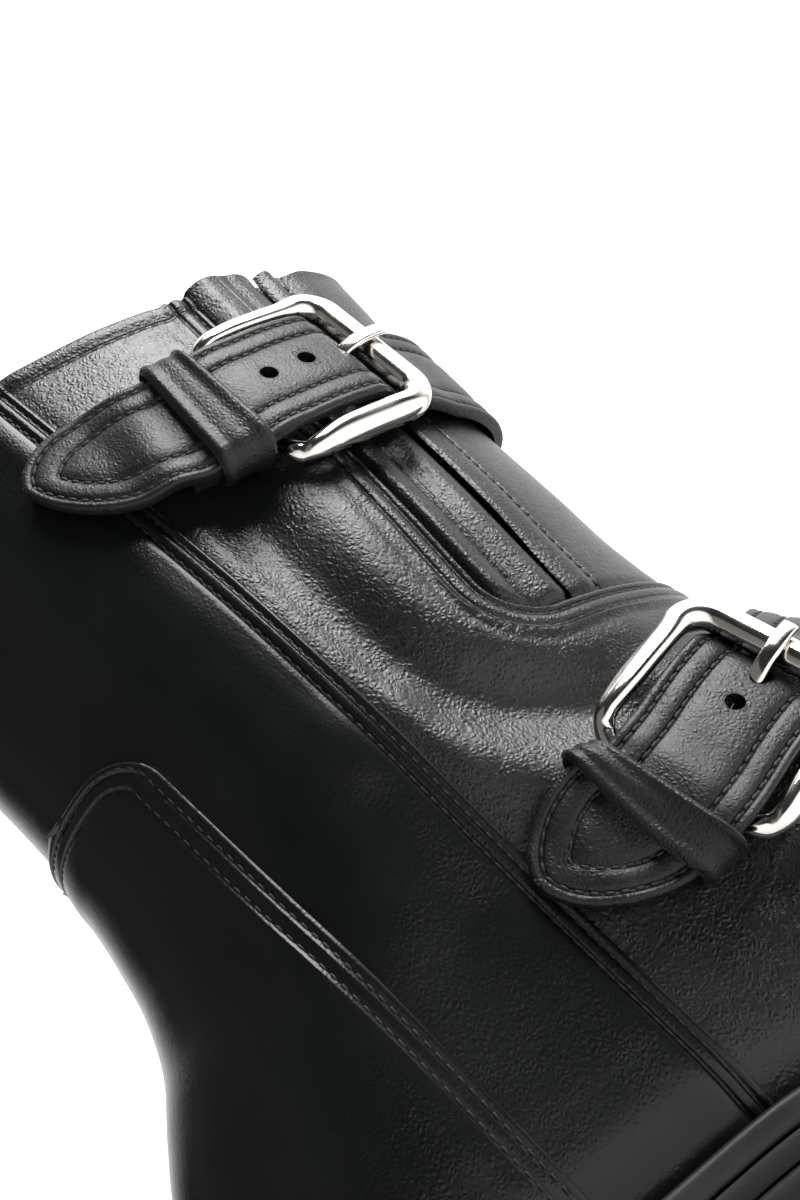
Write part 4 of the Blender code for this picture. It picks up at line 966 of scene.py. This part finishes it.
def strapAt(run, s, b, n, flat=True):
    # s has one value for each row; b and n have rows and columns
    s, b = np.asarray(s, float), np.asarray(b, float)
    sheet = laidSheet(run, s)
    if flat:
        # inside the buckle the strap is flat across
        share = (climb(s, run["end"] - 10.0, 6.0) * (1.0 - climb(s, run["heel"] + 2.5, 6.0)))[:, None, None]
        middle = sheet[:, centre]
        middle = middle - ((middle - run["anchor"]) @ run["wide"])[:, None] * run["wide"]
        sheet = sheet * (1.0 - share) + (middle[:, None] + run["wide"] * laidAcross[None, :, None]) * share
    at = np.clip((b - laidAcross[0]) / (laidAcross[1] - laidAcross[0]), 0.0, len(laidAcross) - 1.001)
    low = at.astype(int)
    share = (at - low)[..., None]
    rows = np.arange(len(s))[:, None]
    places = sheet[rows, low] * (1.0 - share) + sheet[rows, low + 1] * share
    return places + strapNormals(run, s)[:, None] * np.asarray(n, float)[..., None]


def strapSpot(run, s, n):
    return strapAt(run, [s], [[0.0]], [[n]])[0, 0]


def strapLift(run, s):
    # how far the underside stands off the last: under the buckle's end, then over its heel bar and the chape
    lift, crest = run["row"]["lift"], run["row"]["crest"]
    seat, over, onChape = strapSizes["seat"], strapSizes["over"] + lift, strapSizes["onChape"]
    end, heel, chape = run["end"], run["heel"], run["chape"]
    base = strapSizes["under"] + lift
    dip = end + 1.2 + 0.9 * lift
    onRear = sideSeam["step"] + seat
    under = ((end - 60.0, seat), (end - 16.0, seat), (end - 9.0, base - 0.6), (dip, base), (dip + 1.0, base + 0.5),
             (dip + 2.0, base + 1.6), (dip + 3.2, base + 3.0), (dip + 4.4, base + 4.0), (dip + 6.5, base + 4.8),
             (dip + 9.0, base + 5.4))
    above = ((heel - 12.0, crest), (heel - 5.0, 0.5 * (crest + over) - 0.3), (heel - 1.5, over),
             (heel + 2.5, over - 0.3), (heel + 6.0, onChape + 1.1 * lift + 1.6),
             (run["keeper"] + 5.7, onChape + 0.4 * lift), (chape + 1.0, onChape), (chape + 9.0, onRear),
             (run["tip"] + 5.0, onRear))
    s = np.asarray(s, float)
    heights = [np.minimum(*(np.interp(s + move, *zip(*rows)) for rows in (under, above)))
               for move in np.linspace(-1.5, 1.5, 7)]
    return np.mean(heights, axis=0)


def strapHalf(run, s):
    near = np.clip((np.asarray(s, float) - run["tip"] + strapSizes["tipRound"]) / strapSizes["tipRound"], 0.0, 1.0)
    return strapSizes["half"] * (1.0 - near ** strapSizes["tipPower"]) ** strapSizes["tipShape"]


def strapEdge(run, s, b):
    # distance in from the strap's outline
    s = np.broadcast_to(s, b.shape)
    edge = strapSizes["half"] - np.abs(b)
    line = run["tip"] - 30.0 * (1.0 - np.linspace(0.0, 1.0, 160) ** 0.5)
    tipped = s > run["tip"] - 36.0
    away = np.hypot(s[tipped][:, None] - line, np.abs(b)[tipped][:, None] - strapHalf(run, line)).min(axis=1)
    edge[tipped] = np.minimum(edge[tipped], away)
    return edge


def tipLift(run, s, b):
    # past the keeper the lower edge stands off the boot
    half = strapSizes["half"]
    return climb(np.asarray(s, float), run["keeper"] + 5.0, 8.0) * strapSizes["tipLift"] * (half - b) / (2.0 * half)


def strapTop(run, s, b):
    edge = strapEdge(run, s, b)
    rim = strapSizes["rim"]
    deep, wide = strapSizes["groove"]
    relief = np.sqrt(np.maximum(rim ** 2 - np.clip(rim - edge, 0.0, rim) ** 2, 0.0)) - rim
    relief = relief - sum(deep * bump(edge, row, wide) for row in strapSizes["rows"])
    relief = relief + 0.3 * climb(edge, 6.4, 3.2) + 0.12 * bump(edge, 4.1, 1.3)
    return strapLift(run, s[:, 0])[:, None] + tipLift(run, s, b) + strapSizes["thick"] + relief, edge


def tipStations(run, plainOnes, count, most=1.0):
    # stations along the strap, closer together toward the tip
    turned = np.sin(np.linspace(0.0, quarter, count)) * most
    return np.concatenate((plainOnes, run["tip"] - strapSizes["tipRound"] * (1.0 - turned)))


def makeStrap(name, run):
    sizes = strapSizes
    shoulder = run["tip"] - sizes["tipRound"]
    s = tipStations(run, np.arange(-run["inner"], shoulder, sizes["step"]), 34, 0.9995)
    half = np.maximum(strapHalf(run, s), 0.05)[:, None]
    inward = np.array(sizes["edges"]) / sizes["half"]
    b = half * np.concatenate((inward - 1.0, (1.0 - inward)[::-1][1:]))
    top, edge = strapTop(run, s[:, None], b)
    under = half * np.linspace(0.985, -0.985, 9)
    low = strapLift(run, s)[:, None] + tipLift(run, s[:, None], under)
    places = strapAt(run, s, np.concatenate((b, under), axis=1), np.concatenate((top, low), axis=1))
    edge = np.concatenate((edge, np.zeros(under.shape), edge[:, :1]), axis=1)
    strap = gridSheet(name + "Strap", closeEnds(list(places)), True)
    setValue(strap, "strapEdge", np.concatenate((edge[:1], edge, edge[-1:])).ravel())
    weld(strap)
    # punched holes, and the slot that the prong goes through
    for u in run["row"]["holes"]:
        punch(strap, run, run["heel"] - u, sizes["hole"], sizes["hole"])
    slotAt, slotLong, slotWide = sizes["slot"]
    punch(strap, run, run["end"] + slotAt, slotLong, slotWide)
    finish = leather(name + "StrapLeather", leatherLooks["strap"], (("strapEdge", sizes["rows"], 0.6, 0.0003),))
    dress(strap, [finish], (name + "_strap",), 50.0)
    # the rows of sewing follow the outline round the tip
    line = tipStations(run, np.linspace(3.0 - run["inner"], shoulder, 220)[:-1], 120)
    rim = np.stack((line, strapHalf(run, line)), axis=1)
    tangent = unit(np.gradient(rim, axis=0))
    for row in sizes["rows"]:
        inner = rim + np.stack((tangent[:, 1], -tangent[:, 0]), axis=1) * row
        inner = inner[(inner[:, 1] > 0.0) & (strapEdge(run, inner[:, 0], inner[:, 1]) > row - 0.08)]
        inner = np.concatenate((inner, inner[::-1] * (1.0, -1.0)))
        at, across = inner[:, 0], inner[:, 1:]
        top, edge = strapTop(run, at[:, None], across)
        sideways = strapAt(run, at, across + 0.5, top) - strapAt(run, at, across - 0.5, top)
        forward = strapAt(run, at + 0.5, across, top) - strapAt(run, at - 0.5, across, top)
        normals = unit(np.cross(forward, sideways)[:, 0])
        normals = normals * np.sign((normals * strapNormals(run, at)).sum(axis=1))[:, None]
        sewRow("strap", strapAt(run, at, across, top + 0.1)[:, 0], normals)


def punch(strap, run, s, halfLong, halfWide):
    ahead, behind = (strapSpot(run, at, strapLift(run, at)) for at in (s + 1.0, s - 1.0))
    along = unit(ahead - behind)
    across = squareTo(run["wide"], along)
    bpy.ops.mesh.primitive_cylinder_add(vertices=28, radius=1.0, depth=2.0)
    tool = bpy.context.object
    u, v, w = shapeOf(tool).T[..., None]
    setPlaces(tool, strapSpot(run, s, 4.0) + along * u * halfLong + across * v * halfWide
              + np.cross(along, across) * w * 14.0)
    weld(tool)
    cutWith(strap, tool)


def makeKeeper(name, run):
    look = {"length": 8.0, "wall": 1.7, "clear": 0.85, "lip": 0.45, "turn": 4.4, "tuck": 3.4, "thick": 1.5,
            "crown": 0.25, "edges": (0.0, 0.12, 0.35, 0.7, 1.1, 1.6, 2.1), "plain": 2.7}
    seat, turn, length = strapSizes["seat"], look["turn"], look["length"]
    half = strapSizes["half"] + buckleSizes["gap"] + look["wall"]
    edges = np.array(look["edges"])
    spread = np.concatenate((edges, np.linspace(look["plain"], length - look["plain"], 6), length - edges[::-1]))
    s = run["keeper"] - 0.5 * length + spread
    tall = strapLift(run, s) + strapSizes["thick"] + look["clear"] + look["wall"]
    end = np.minimum(spread, length - spread)
    lips = look["lip"] * bump(end, 1.1, 0.75) - 0.7 * edgeFall(end, 0.6) - 0.15 * bump(end, 2.4, 0.8)
    rows = []
    for high, lip in zip(tall, lips):
        up = np.linspace(seat, high - turn, 6)[:-1]
        left = [(-half - lip + look["tuck"] * f ** 1.6, n) for f, n in zip(np.linspace(1.0, 0.0, 6), up)]
        left += [(-half + turn + (turn + lip) * math.cos(t), high - turn + (turn + lip) * math.sin(t))
                 for t in np.linspace(math.pi, quarter, 9)]
        flat = [(b, high + lip + look["crown"] * math.cos(quarter * b / half))
                for b in np.linspace(turn - half, half - turn, 18)[1:-1]]
        rows.append(left + flat + [(-b, n) for b, n in reversed(left)])
    b, n = np.moveaxis(np.array(rows), 2, 0)
    share = climb(n, seat, 3.0)[..., None]
    places = strapAt(run, s, b, n, False) * (1.0 - share) + strapAt(run, s, b, n) * share
    keeper = gridSheet(name + "Keeper", places)
    middle = strapSpot(run, run["keeper"], 2.0)
    turnOut(keeper, lambda places: places - middle)
    finishWith(keeper, "SOLIDIFY", thickness=look["thick"] * 0.001, offset=-1.0)
    finish = leather(name + "KeeperLeather", leatherLooks["strap"])
    dress(keeper, [finish], (name + "_keeper",), 60.0)


def buckleFrame(run):
    sizes, lift = buckleSizes, run["row"]["lift"]
    heel = strapSpot(run, run["heel"], sizes["heelOffset"] + lift)
    rise = strapSizes["under"] + lift + strapSizes["thick"] + sizes["gap"] + sizes["endRadius"]
    end = strapSpot(run, run["end"], rise)
    along = unit(end - heel)
    across = squareTo(run["wide"], along)
    up = np.cross(along, across)
    if float(up @ strapNormals(run, [0.5 * (run["heel"] + run["end"])])[0]) < 0.0:
        up = -up
    return heel, along, across, up, float(np.linalg.norm(end - heel))


def makeBuckle(name, place):
    sizes = buckleSizes
    heel, along, across, up, length = place
    reach = sizes["round"]
    side = sizes["half"] - reach
    corners = ((length - reach, side, 90.0, 0.0), (length - reach, -side, 0.0, -90.0),
               (reach, -side, -90.0, -180.0), (reach, side, 180.0, 90.0))
    outline = [(u0 + reach * math.cos(turn), v0 + reach * math.sin(turn), math.cos(turn), math.sin(turn))
               for u0, v0, first, final in corners for turn in np.radians(np.linspace(first, final, 13))]
    outline = np.array(outline)
    path = []
    for a, b in zip(outline, np.roll(outline, -1, axis=0)):
        count = max(1, int(float(np.hypot(*(b - a)[:2])) / 1.2))
        path += [a * (1.0 - t) + b * t for t in np.arange(0.0, 1.0, 1.0 / count)]
    angles = np.linspace(0.0, 2.0 * math.pi, 25)[:-1, None]
    cosTilt, sinTilt = math.cos(sizes["tilt"]), math.sin(sizes["tilt"])
    rings = []
    for u, v, cosine, sine in path:
        share = min(1.0, max(0.0, u / length))
        side = climb(abs(v), sizes["thinHalf"], 2.6) * (0.3 + 0.7 * smoothStep(share / 0.4))
        end = climb(share, 0.7, 0.24)
        radii = [sizes["heelRadius"] + (sizes[way] - sizes["heelRadius"]) * side for way in ("sideWide", "sideSlim")]
        wide, slim = [radius + (sizes["endRadius"] - radius) * end for radius in radii]
        bow = sizes["bow"] * math.sin(math.pi * max(0.0, (share - 0.06) / 0.94) ** 0.5)
        out = unit(along * cosine + across * sine)
        broad = (out * cosTilt - up * sinTilt) * wide
        thick = (out * sinTilt + up * cosTilt) * slim
        rings.append(heel + along * u + across * v + up * bow + broad * np.cos(angles) + thick * np.sin(angles))
    buckle = closedPiece(name + "Buckle", rings + rings[:1])
    dress(buckle, [plain["platedMetal"]], (name + "_buckle",), 70.0)


def makeProng(name, place):
    look = {"thick": 1.4, "width": 2.9, "gap": 0.3, "square": 0.6, "endRound": 0.6}
    heel, along, across, up, length = place
    middle = buckleSizes["heelRadius"] + look["gap"] + 0.5 * look["thick"]
    top = buckleSizes["endRadius"] + look["gap"] + 0.5 * look["thick"]
    # round the heel bar, along over the strap and over the end bar
    knots = [(middle * math.cos(t), middle * math.sin(t)) for t in np.radians(np.linspace(-115.0, -270.0, 10))]
    knots += [(4.0, middle - 1.9), (9.0, middle - 4.0), (length - 13.0, middle - 4.6), (length - 10.5, middle - 3.4),
              (length - 8.2, middle - 1.3), (length - 6.0, top - 1.1), (length - 3.4, top - 0.1), (length, top + 0.1),
              (length + 2.2, top - 0.2), (length + 3.6, top - 0.8)]
    run = pathRun(knots)
    at = np.linspace(0.0, run[-1], 80)
    rows = [(r, u, v) for r, (u, v) in zip(run, knots)]
    spine = np.stack((tableCurve(rows, at, 1), tableCurve(rows, at, 2)), axis=1)
    angles = np.linspace(0.0, 2.0 * math.pi, 21)[:-1]
    squareCos, squareSin = (np.sign(w) * np.abs(w) ** look["square"] for w in (np.cos(angles), np.sin(angles)))
    rings = []
    for (u, v), (du, dv), left in zip(spine, unit(np.gradient(spine, axis=0)), run[-1] - at):
        size = 0.35 + 0.65 * math.sqrt(max(0.0, 1.0 - (1.0 - min(1.0, left / look["endRound"])) ** 2))
        wide = 0.5 * look["width"] * size * squareCos
        tall = 0.5 * look["thick"] * size * squareSin
        rings.append(heel + along * (u - dv * tall)[:, None] + up * (v + du * tall)[:, None] + across * wide[:, None])
    prong = closedPiece(name + "Prong", closeEnds(rings))
    dress(prong, [plain["platedMetal"]], (name + "_prong",), 50.0)


def makeChape(name, run, place):
    look = {"thick": 1.3, "half": 10.6, "slot": 2.1, "between": 0.3, "flatFrom": 7.5, "turnTo": 4.5}
    heel, along, across, up = place[:4]
    low = strapSizes["seat"] + 0.5 * look["thick"]
    high = low + look["thick"] + look["between"]
    bend = buckleSizes["heelRadius"] + look["between"] + 0.5 * look["thick"]
    bar = buckleSizes["heelOffset"] + run["row"]["lift"]
    # along the top, round the heel bar and back underneath
    flat = np.linspace(run["chape"] - run["heel"], look["flatFrom"], 6)
    spine = [(d, high) for d in flat] + [(look["turnTo"], 0.5 * (high + bar + bend))]
    spine += [(bend * math.cos(t), bar + bend * math.sin(t)) for t in np.radians(np.linspace(75.0, 285.0, 22))]
    spine += [(look["turnTo"], 0.5 * (low + bar - bend))] + [(d, low) for d in flat[::-1]]
    tangent = unit(np.gradient(np.array(spine), axis=0)) * 0.5 * look["thick"]
    loops = []
    for first, final in ((-look["half"], -look["slot"]), (look["slot"], look["half"])):
        columns = np.linspace(first, final, 8)
        rings = []
        for (d0, n0), (dd, dn) in zip(spine, tangent):
            ring = []
            for d, n, order in ((d0 - dn, n0 + dd, columns), (d0 + dn, n0 - dd, columns[::-1])):
                share = climb(d, 2.5, 5.0)
                straight = heel - along * d + across * order[:, None] + up * (n - bar)
                laid = strapAt(run, [run["heel"] + d], order[None], np.full((1, len(order)), n), False)[0]
                ring.append(straight * (1.0 - share) + laid * share)
            rings.append(np.concatenate(ring))
        loops.append(closedPiece(name + "Chape", closeEnds(rings)))
    chape = joinPieces(loops, name + "Chape")
    dress(chape, [leather(name + "ChapeLeather", leatherLooks["strap"])], (name + "_chape",), 50.0)


# Sole: each side is a row of points, out from the feather line and down from it
soleSides = {
    "welt": ((-9.0, 0.3), (4.3, 0.3), (4.95, 0.45), (5.35, 0.85), (5.5, 1.4), (5.5, 3.7), (5.35, 4.25), (4.95, 4.65),
             (4.3, 4.8), (-9.0, 4.8)),
    "midsole": ((-9.3, 0.3), (-9.3, 5.1), (4.4, 5.1), (4.9, 5.25), (5.2, 5.8), (5.2, 8.2), (4.9, 8.75), (4.4, 8.9)),
    "outsole": ((4.8, 9.2), (5.4, 9.4), (5.8, 10.0), (5.8, 12.0), (5.6, None), (5.2, None)),
    "insole": ((-3.4, -3.0), (-2.8, -2.7), (-2.6, -2.0), (-2.6, 0.0)),
    "heel": ((5.4, 0.0), (5.4, 0.2), (5.0, 0.36), (4.5, 0.55), (4.0, 0.75), (3.6, 0.92), (3.2, 0.97), (2.6, 1.0)),
    "columns": 150, "breast": 78.0, "heelDepth": 14.3, "footDepth": 14.0, "foreDepth": 7.4, "fore": (134.0, 16.0),
    "footRound": 1.0, "caps": {"midsole": 6, "insole": 14, "outsole": 10, "heel": 9},
}
tread = {"lugs": 8, "first": 150.0, "pitch": 15.0, "groove": 4.5, "channel": ((160.0, -0.7, -20.0), (245.0, 4.3, 3.5)),
         "heelCuts": (26.0, 46.0, 63.0), "heelCut": 4.0}


def outsoleFoot(x):
    return feather(x) - soleSides["footDepth"] - soleSides["foreDepth"] * climb(x, *soleSides["fore"])


def soleRings(name):
    back, front = (float(level(key, last["seat"])) for key in ("back", "front"))
    x = 0.5 * (front + back) + 0.5 * (front - back) * np.cos(np.linspace(0.0, math.pi, soleSides["columns"]))
    outer, inner = (np.stack((x, sideY(x, last["seat"], side)), axis=1) for side in bothSides)
    points = np.concatenate((outer, inner[::-1][1:-1]))
    tangent = np.roll(points, -1, axis=0) - np.roll(points, 1, axis=0)
    normal = unit(np.stack((tangent[:, 1], -tangent[:, 0]), axis=1))
    normal = -normal if normal[0][0] < 0.0 else normal
    rings = []
    for out, depth in soleSides[name]:
        ring = points + normal * out
        z = outsoleFoot(ring[:, 0]) if depth is None else feather(ring[:, 0]) - depth
        rings.append(np.concatenate((ring, z[:, None]), axis=1))
    return rings


def soleSections(name):
    # each section runs down the outer side, across below, up the inner side and back across
    rings = soleRings(name)
    sections = []
    for i in range(soleSides["columns"]):
        down = [ring[i] for ring in rings]
        up = [ring[-i % len(ring)] for ring in rings][::-1]
        caps = soleSides["caps"][name]
        sections.append(down + bridge(down[-1], up[0], caps) + up + bridge(up[-1], down[0], caps))
    return sections


def makeLayers():
    rings = soleRings("welt")
    dress(closedPiece("weltRing", rings + rings[:1]), [plain["weltFinish"]], ("welt",), 50.0)
    midsole = closedPiece("midsoleLayer", soleSections("midsole"))
    dress(midsole, [plain["soleRubber"]], ("midsole",))
    insole = closedPiece("insoleBoard", soleSections("insole"))
    dress(insole, [plain["insoleLeather"]], ("insole",))
    sections = soleSections("outsole")
    for section in sections:
        for corner in (4, 15):  # the outer corners of the foot are rounded
            section[corner][2] += soleSides["footRound"]
    outsole = closedPiece("outsoleLayer", sections)
    lugs = []
    for x in tread["first"] + tread["pitch"] * np.arange(tread["lugs"]):
        floor = float(outsoleFoot(x + 0.5 * tread["groove"]))
        lugs.append(((x, -80.0, floor - 12.0), (x + tread["groove"], 80.0, floor + tread["groove"])))
    cutBoxes(outsole, lugs)
    cutBoxes(outsole, [tread["channel"]])
    softEdges(outsole)
    dress(outsole, [plain["soleRubber"]], ("outsole",))


def makeHeel():
    back = float(level("back", last["seat"]))
    x = back + (soleSides["breast"] - back) * (1.0 - np.cos(np.linspace(quarter, 0.0, 60)))
    outer, inner = (np.stack((x, sideY(x, last["seat"], side)), axis=1) for side in bothSides)
    outline = np.concatenate((outer, inner[::-1][1:]))
    tangent = np.gradient(outline, axis=0)
    normal = unit(np.stack((tangent[:, 1], -tangent[:, 0]), axis=1))
    normal = -normal if normal[len(outline) // 2][0] > 0.0 else normal
    for end in (0, -1):
        normal[end] = (0.0, math.copysign(1.0, normal[end][1]))
    top = feather(outline[:, 0]) - soleSides["heelDepth"]
    rows = np.array([np.concatenate((outline + normal * out, (top * (1.0 - share))[:, None]), axis=1)
                     for out, share in soleSides["heel"]])
    sections = []
    for i in range(len(outline) // 2 + 1):
        down, up = list(rows[:, i]), list(rows[::-1, -1 - i])
        caps = soleSides["caps"]["heel"]
        sections.append(np.array(down + bridge(down[-1], up[0], caps) + up + bridge(up[-1], down[0], caps)))
    heel = closedPiece("heelBlock", closeEnds(sections)[:-1])
    cutBoxes(heel, [((x0, -60.0, -5.0), (x0 + tread["heelCut"], 60.0, 4.0)) for x0 in tread["heelCuts"]])
    softEdges(heel)
    dress(heel, [plain["soleRubber"]], ("heel",))


makeFrontPanel()
makeRearQuarter()
sewUpper()
makeGusset()
makeTongue()
makeCounter()
for strapName in straps:
    strapWay = strapRun(strapName)
    makeStrap(strapName, strapWay)
    makeKeeper(strapName, strapWay)
    bucklePlace = buckleFrame(strapWay)
    makeBuckle(strapName, bucklePlace)
    makeProng(strapName, bucklePlace)
    makeChape(strapName, strapWay, bucklePlace)
makeLayers()
makeHeel()
makeStitches("upper", "upperStitches")
makeStitches("strap", "strapStitches")


# Floor, light and camera
studio = {
    "floor": 8.0, "floorColor": (0.7, 0.7, 0.69), "dim": 0.03, "bright": 1.7, "turnLow": 0.15, "turnHigh": 0.72,
    "keyPower": 21.0, "keySize": 0.62, "keyWay": (-0.06, 0.98, 0.05), "keyFar": 0.9, "keyColor": (1, 1, 1),
    "fillPower": 1.6, "fillSize": 1.7, "fillWay": (-0.95, -0.3, 0.4), "fillFar": 0.9, "fillColor": (1, 0.95, 0.88),
    "glowWay": (0.25, 0.5, -1.0), "roughness": 0.7, "paler": 0.97,
}
camera = {"azimuth": -18.32, "elevation": -22.44, "roll": -37.22, "aim": (84.05, -40.0, 140.09), "far": 315.79,
          "fov": 35.53}


def cameraAxes():
    az, el, roll = (math.radians(camera[key]) for key in ("azimuth", "elevation", "roll"))
    back = np.array((math.sin(az) * math.cos(el), -math.cos(az) * math.cos(el), math.sin(el)))
    right = unit(np.cross((0.0, 0.0, 1.0), back))
    up = np.cross(back, right)
    return math.cos(roll) * right + math.sin(roll) * up, -math.sin(roll) * right + math.cos(roll) * up, back


def makeStudio():
    right, up, back = cameraAxes()

    def wayOf(key):
        side, rise, toward = studio[key]
        return unit(right * side + up * rise + back * toward)

    def stand(name, data):
        holder = bpy.data.objects.new(name, data)
        bpy.context.scene.collection.objects.link(holder)
        return holder

    bpy.ops.mesh.primitive_plane_add(size=studio["floor"])
    floor = bpy.context.object
    floor.name = "paleFloor"
    material, tree, shader = newMaterial("paleFloor")
    tone = noiseAt(tree, objectPoint(tree), 3.0, 3.0)
    paler = tuple(c * studio["paler"] for c in studio["floorColor"])
    connect(tree, shader, {"Base Color": mixColors(tree, tone, studio["floorColor"], paler)})
    shader.inputs["Roughness"].default_value = studio["roughness"]
    floor.data.materials.append(material)

    # the world is bright behind the boot and dim on the camera's side
    world = bpy.data.worlds.new("studioWorld")
    world.use_nodes = True
    tree = world.node_tree
    inputs = {0: addNode(tree, "ShaderNodeTexCoord").outputs["Generated"], 1: tuple(wayOf("glowWay"))}
    share = addNode(tree, "ShaderNodeVectorMath", inputs, operation="DOT_PRODUCT").outputs["Value"]
    glow = rampBetween(tree, share, studio["dim"], studio["bright"], studio["turnLow"], studio["turnHigh"],
                       "SMOOTHSTEP")
    ground = tree.nodes["Background"]
    ground.inputs["Color"].default_value = (1, 1, 1, 1)
    tree.links.new(glow, ground.inputs["Strength"])
    bpy.context.scene.world = world

    for kind in ("key", "fill"):
        way = Vector(wayOf(kind + "Way"))
        lamp = bpy.data.lights.new(kind + "Light", "AREA")
        lamp.energy, lamp.color, lamp.size = (studio[kind + key] for key in ("Power", "Color", "Size"))
        holder = stand(kind + "Light", lamp)
        holder.location = Vector(toPart(camera["aim"])) + way * studio[kind + "Far"]
        holder.rotation_euler = way.to_track_quat("Z", "Y").to_euler()

    view = bpy.data.cameras.new("photoCamera")
    view.sensor_fit = "AUTO"
    view.sensor_width = 36.0
    view.lens = 0.5 * view.sensor_width / math.tan(math.radians(camera["fov"]) / 2.0)
    view.clip_start = 0.01
    holder = stand("photoCamera", view)
    matrix = Matrix((right, up, back)).transposed().to_4x4()
    matrix.translation = Vector(toPart(np.array(camera["aim"]) + back * camera["far"]))
    holder.matrix_world = matrix
    bpy.context.scene.camera = holder
    bpy.context.scene.view_settings.view_transform = "Standard"


makeStudio()
print("boot finished")
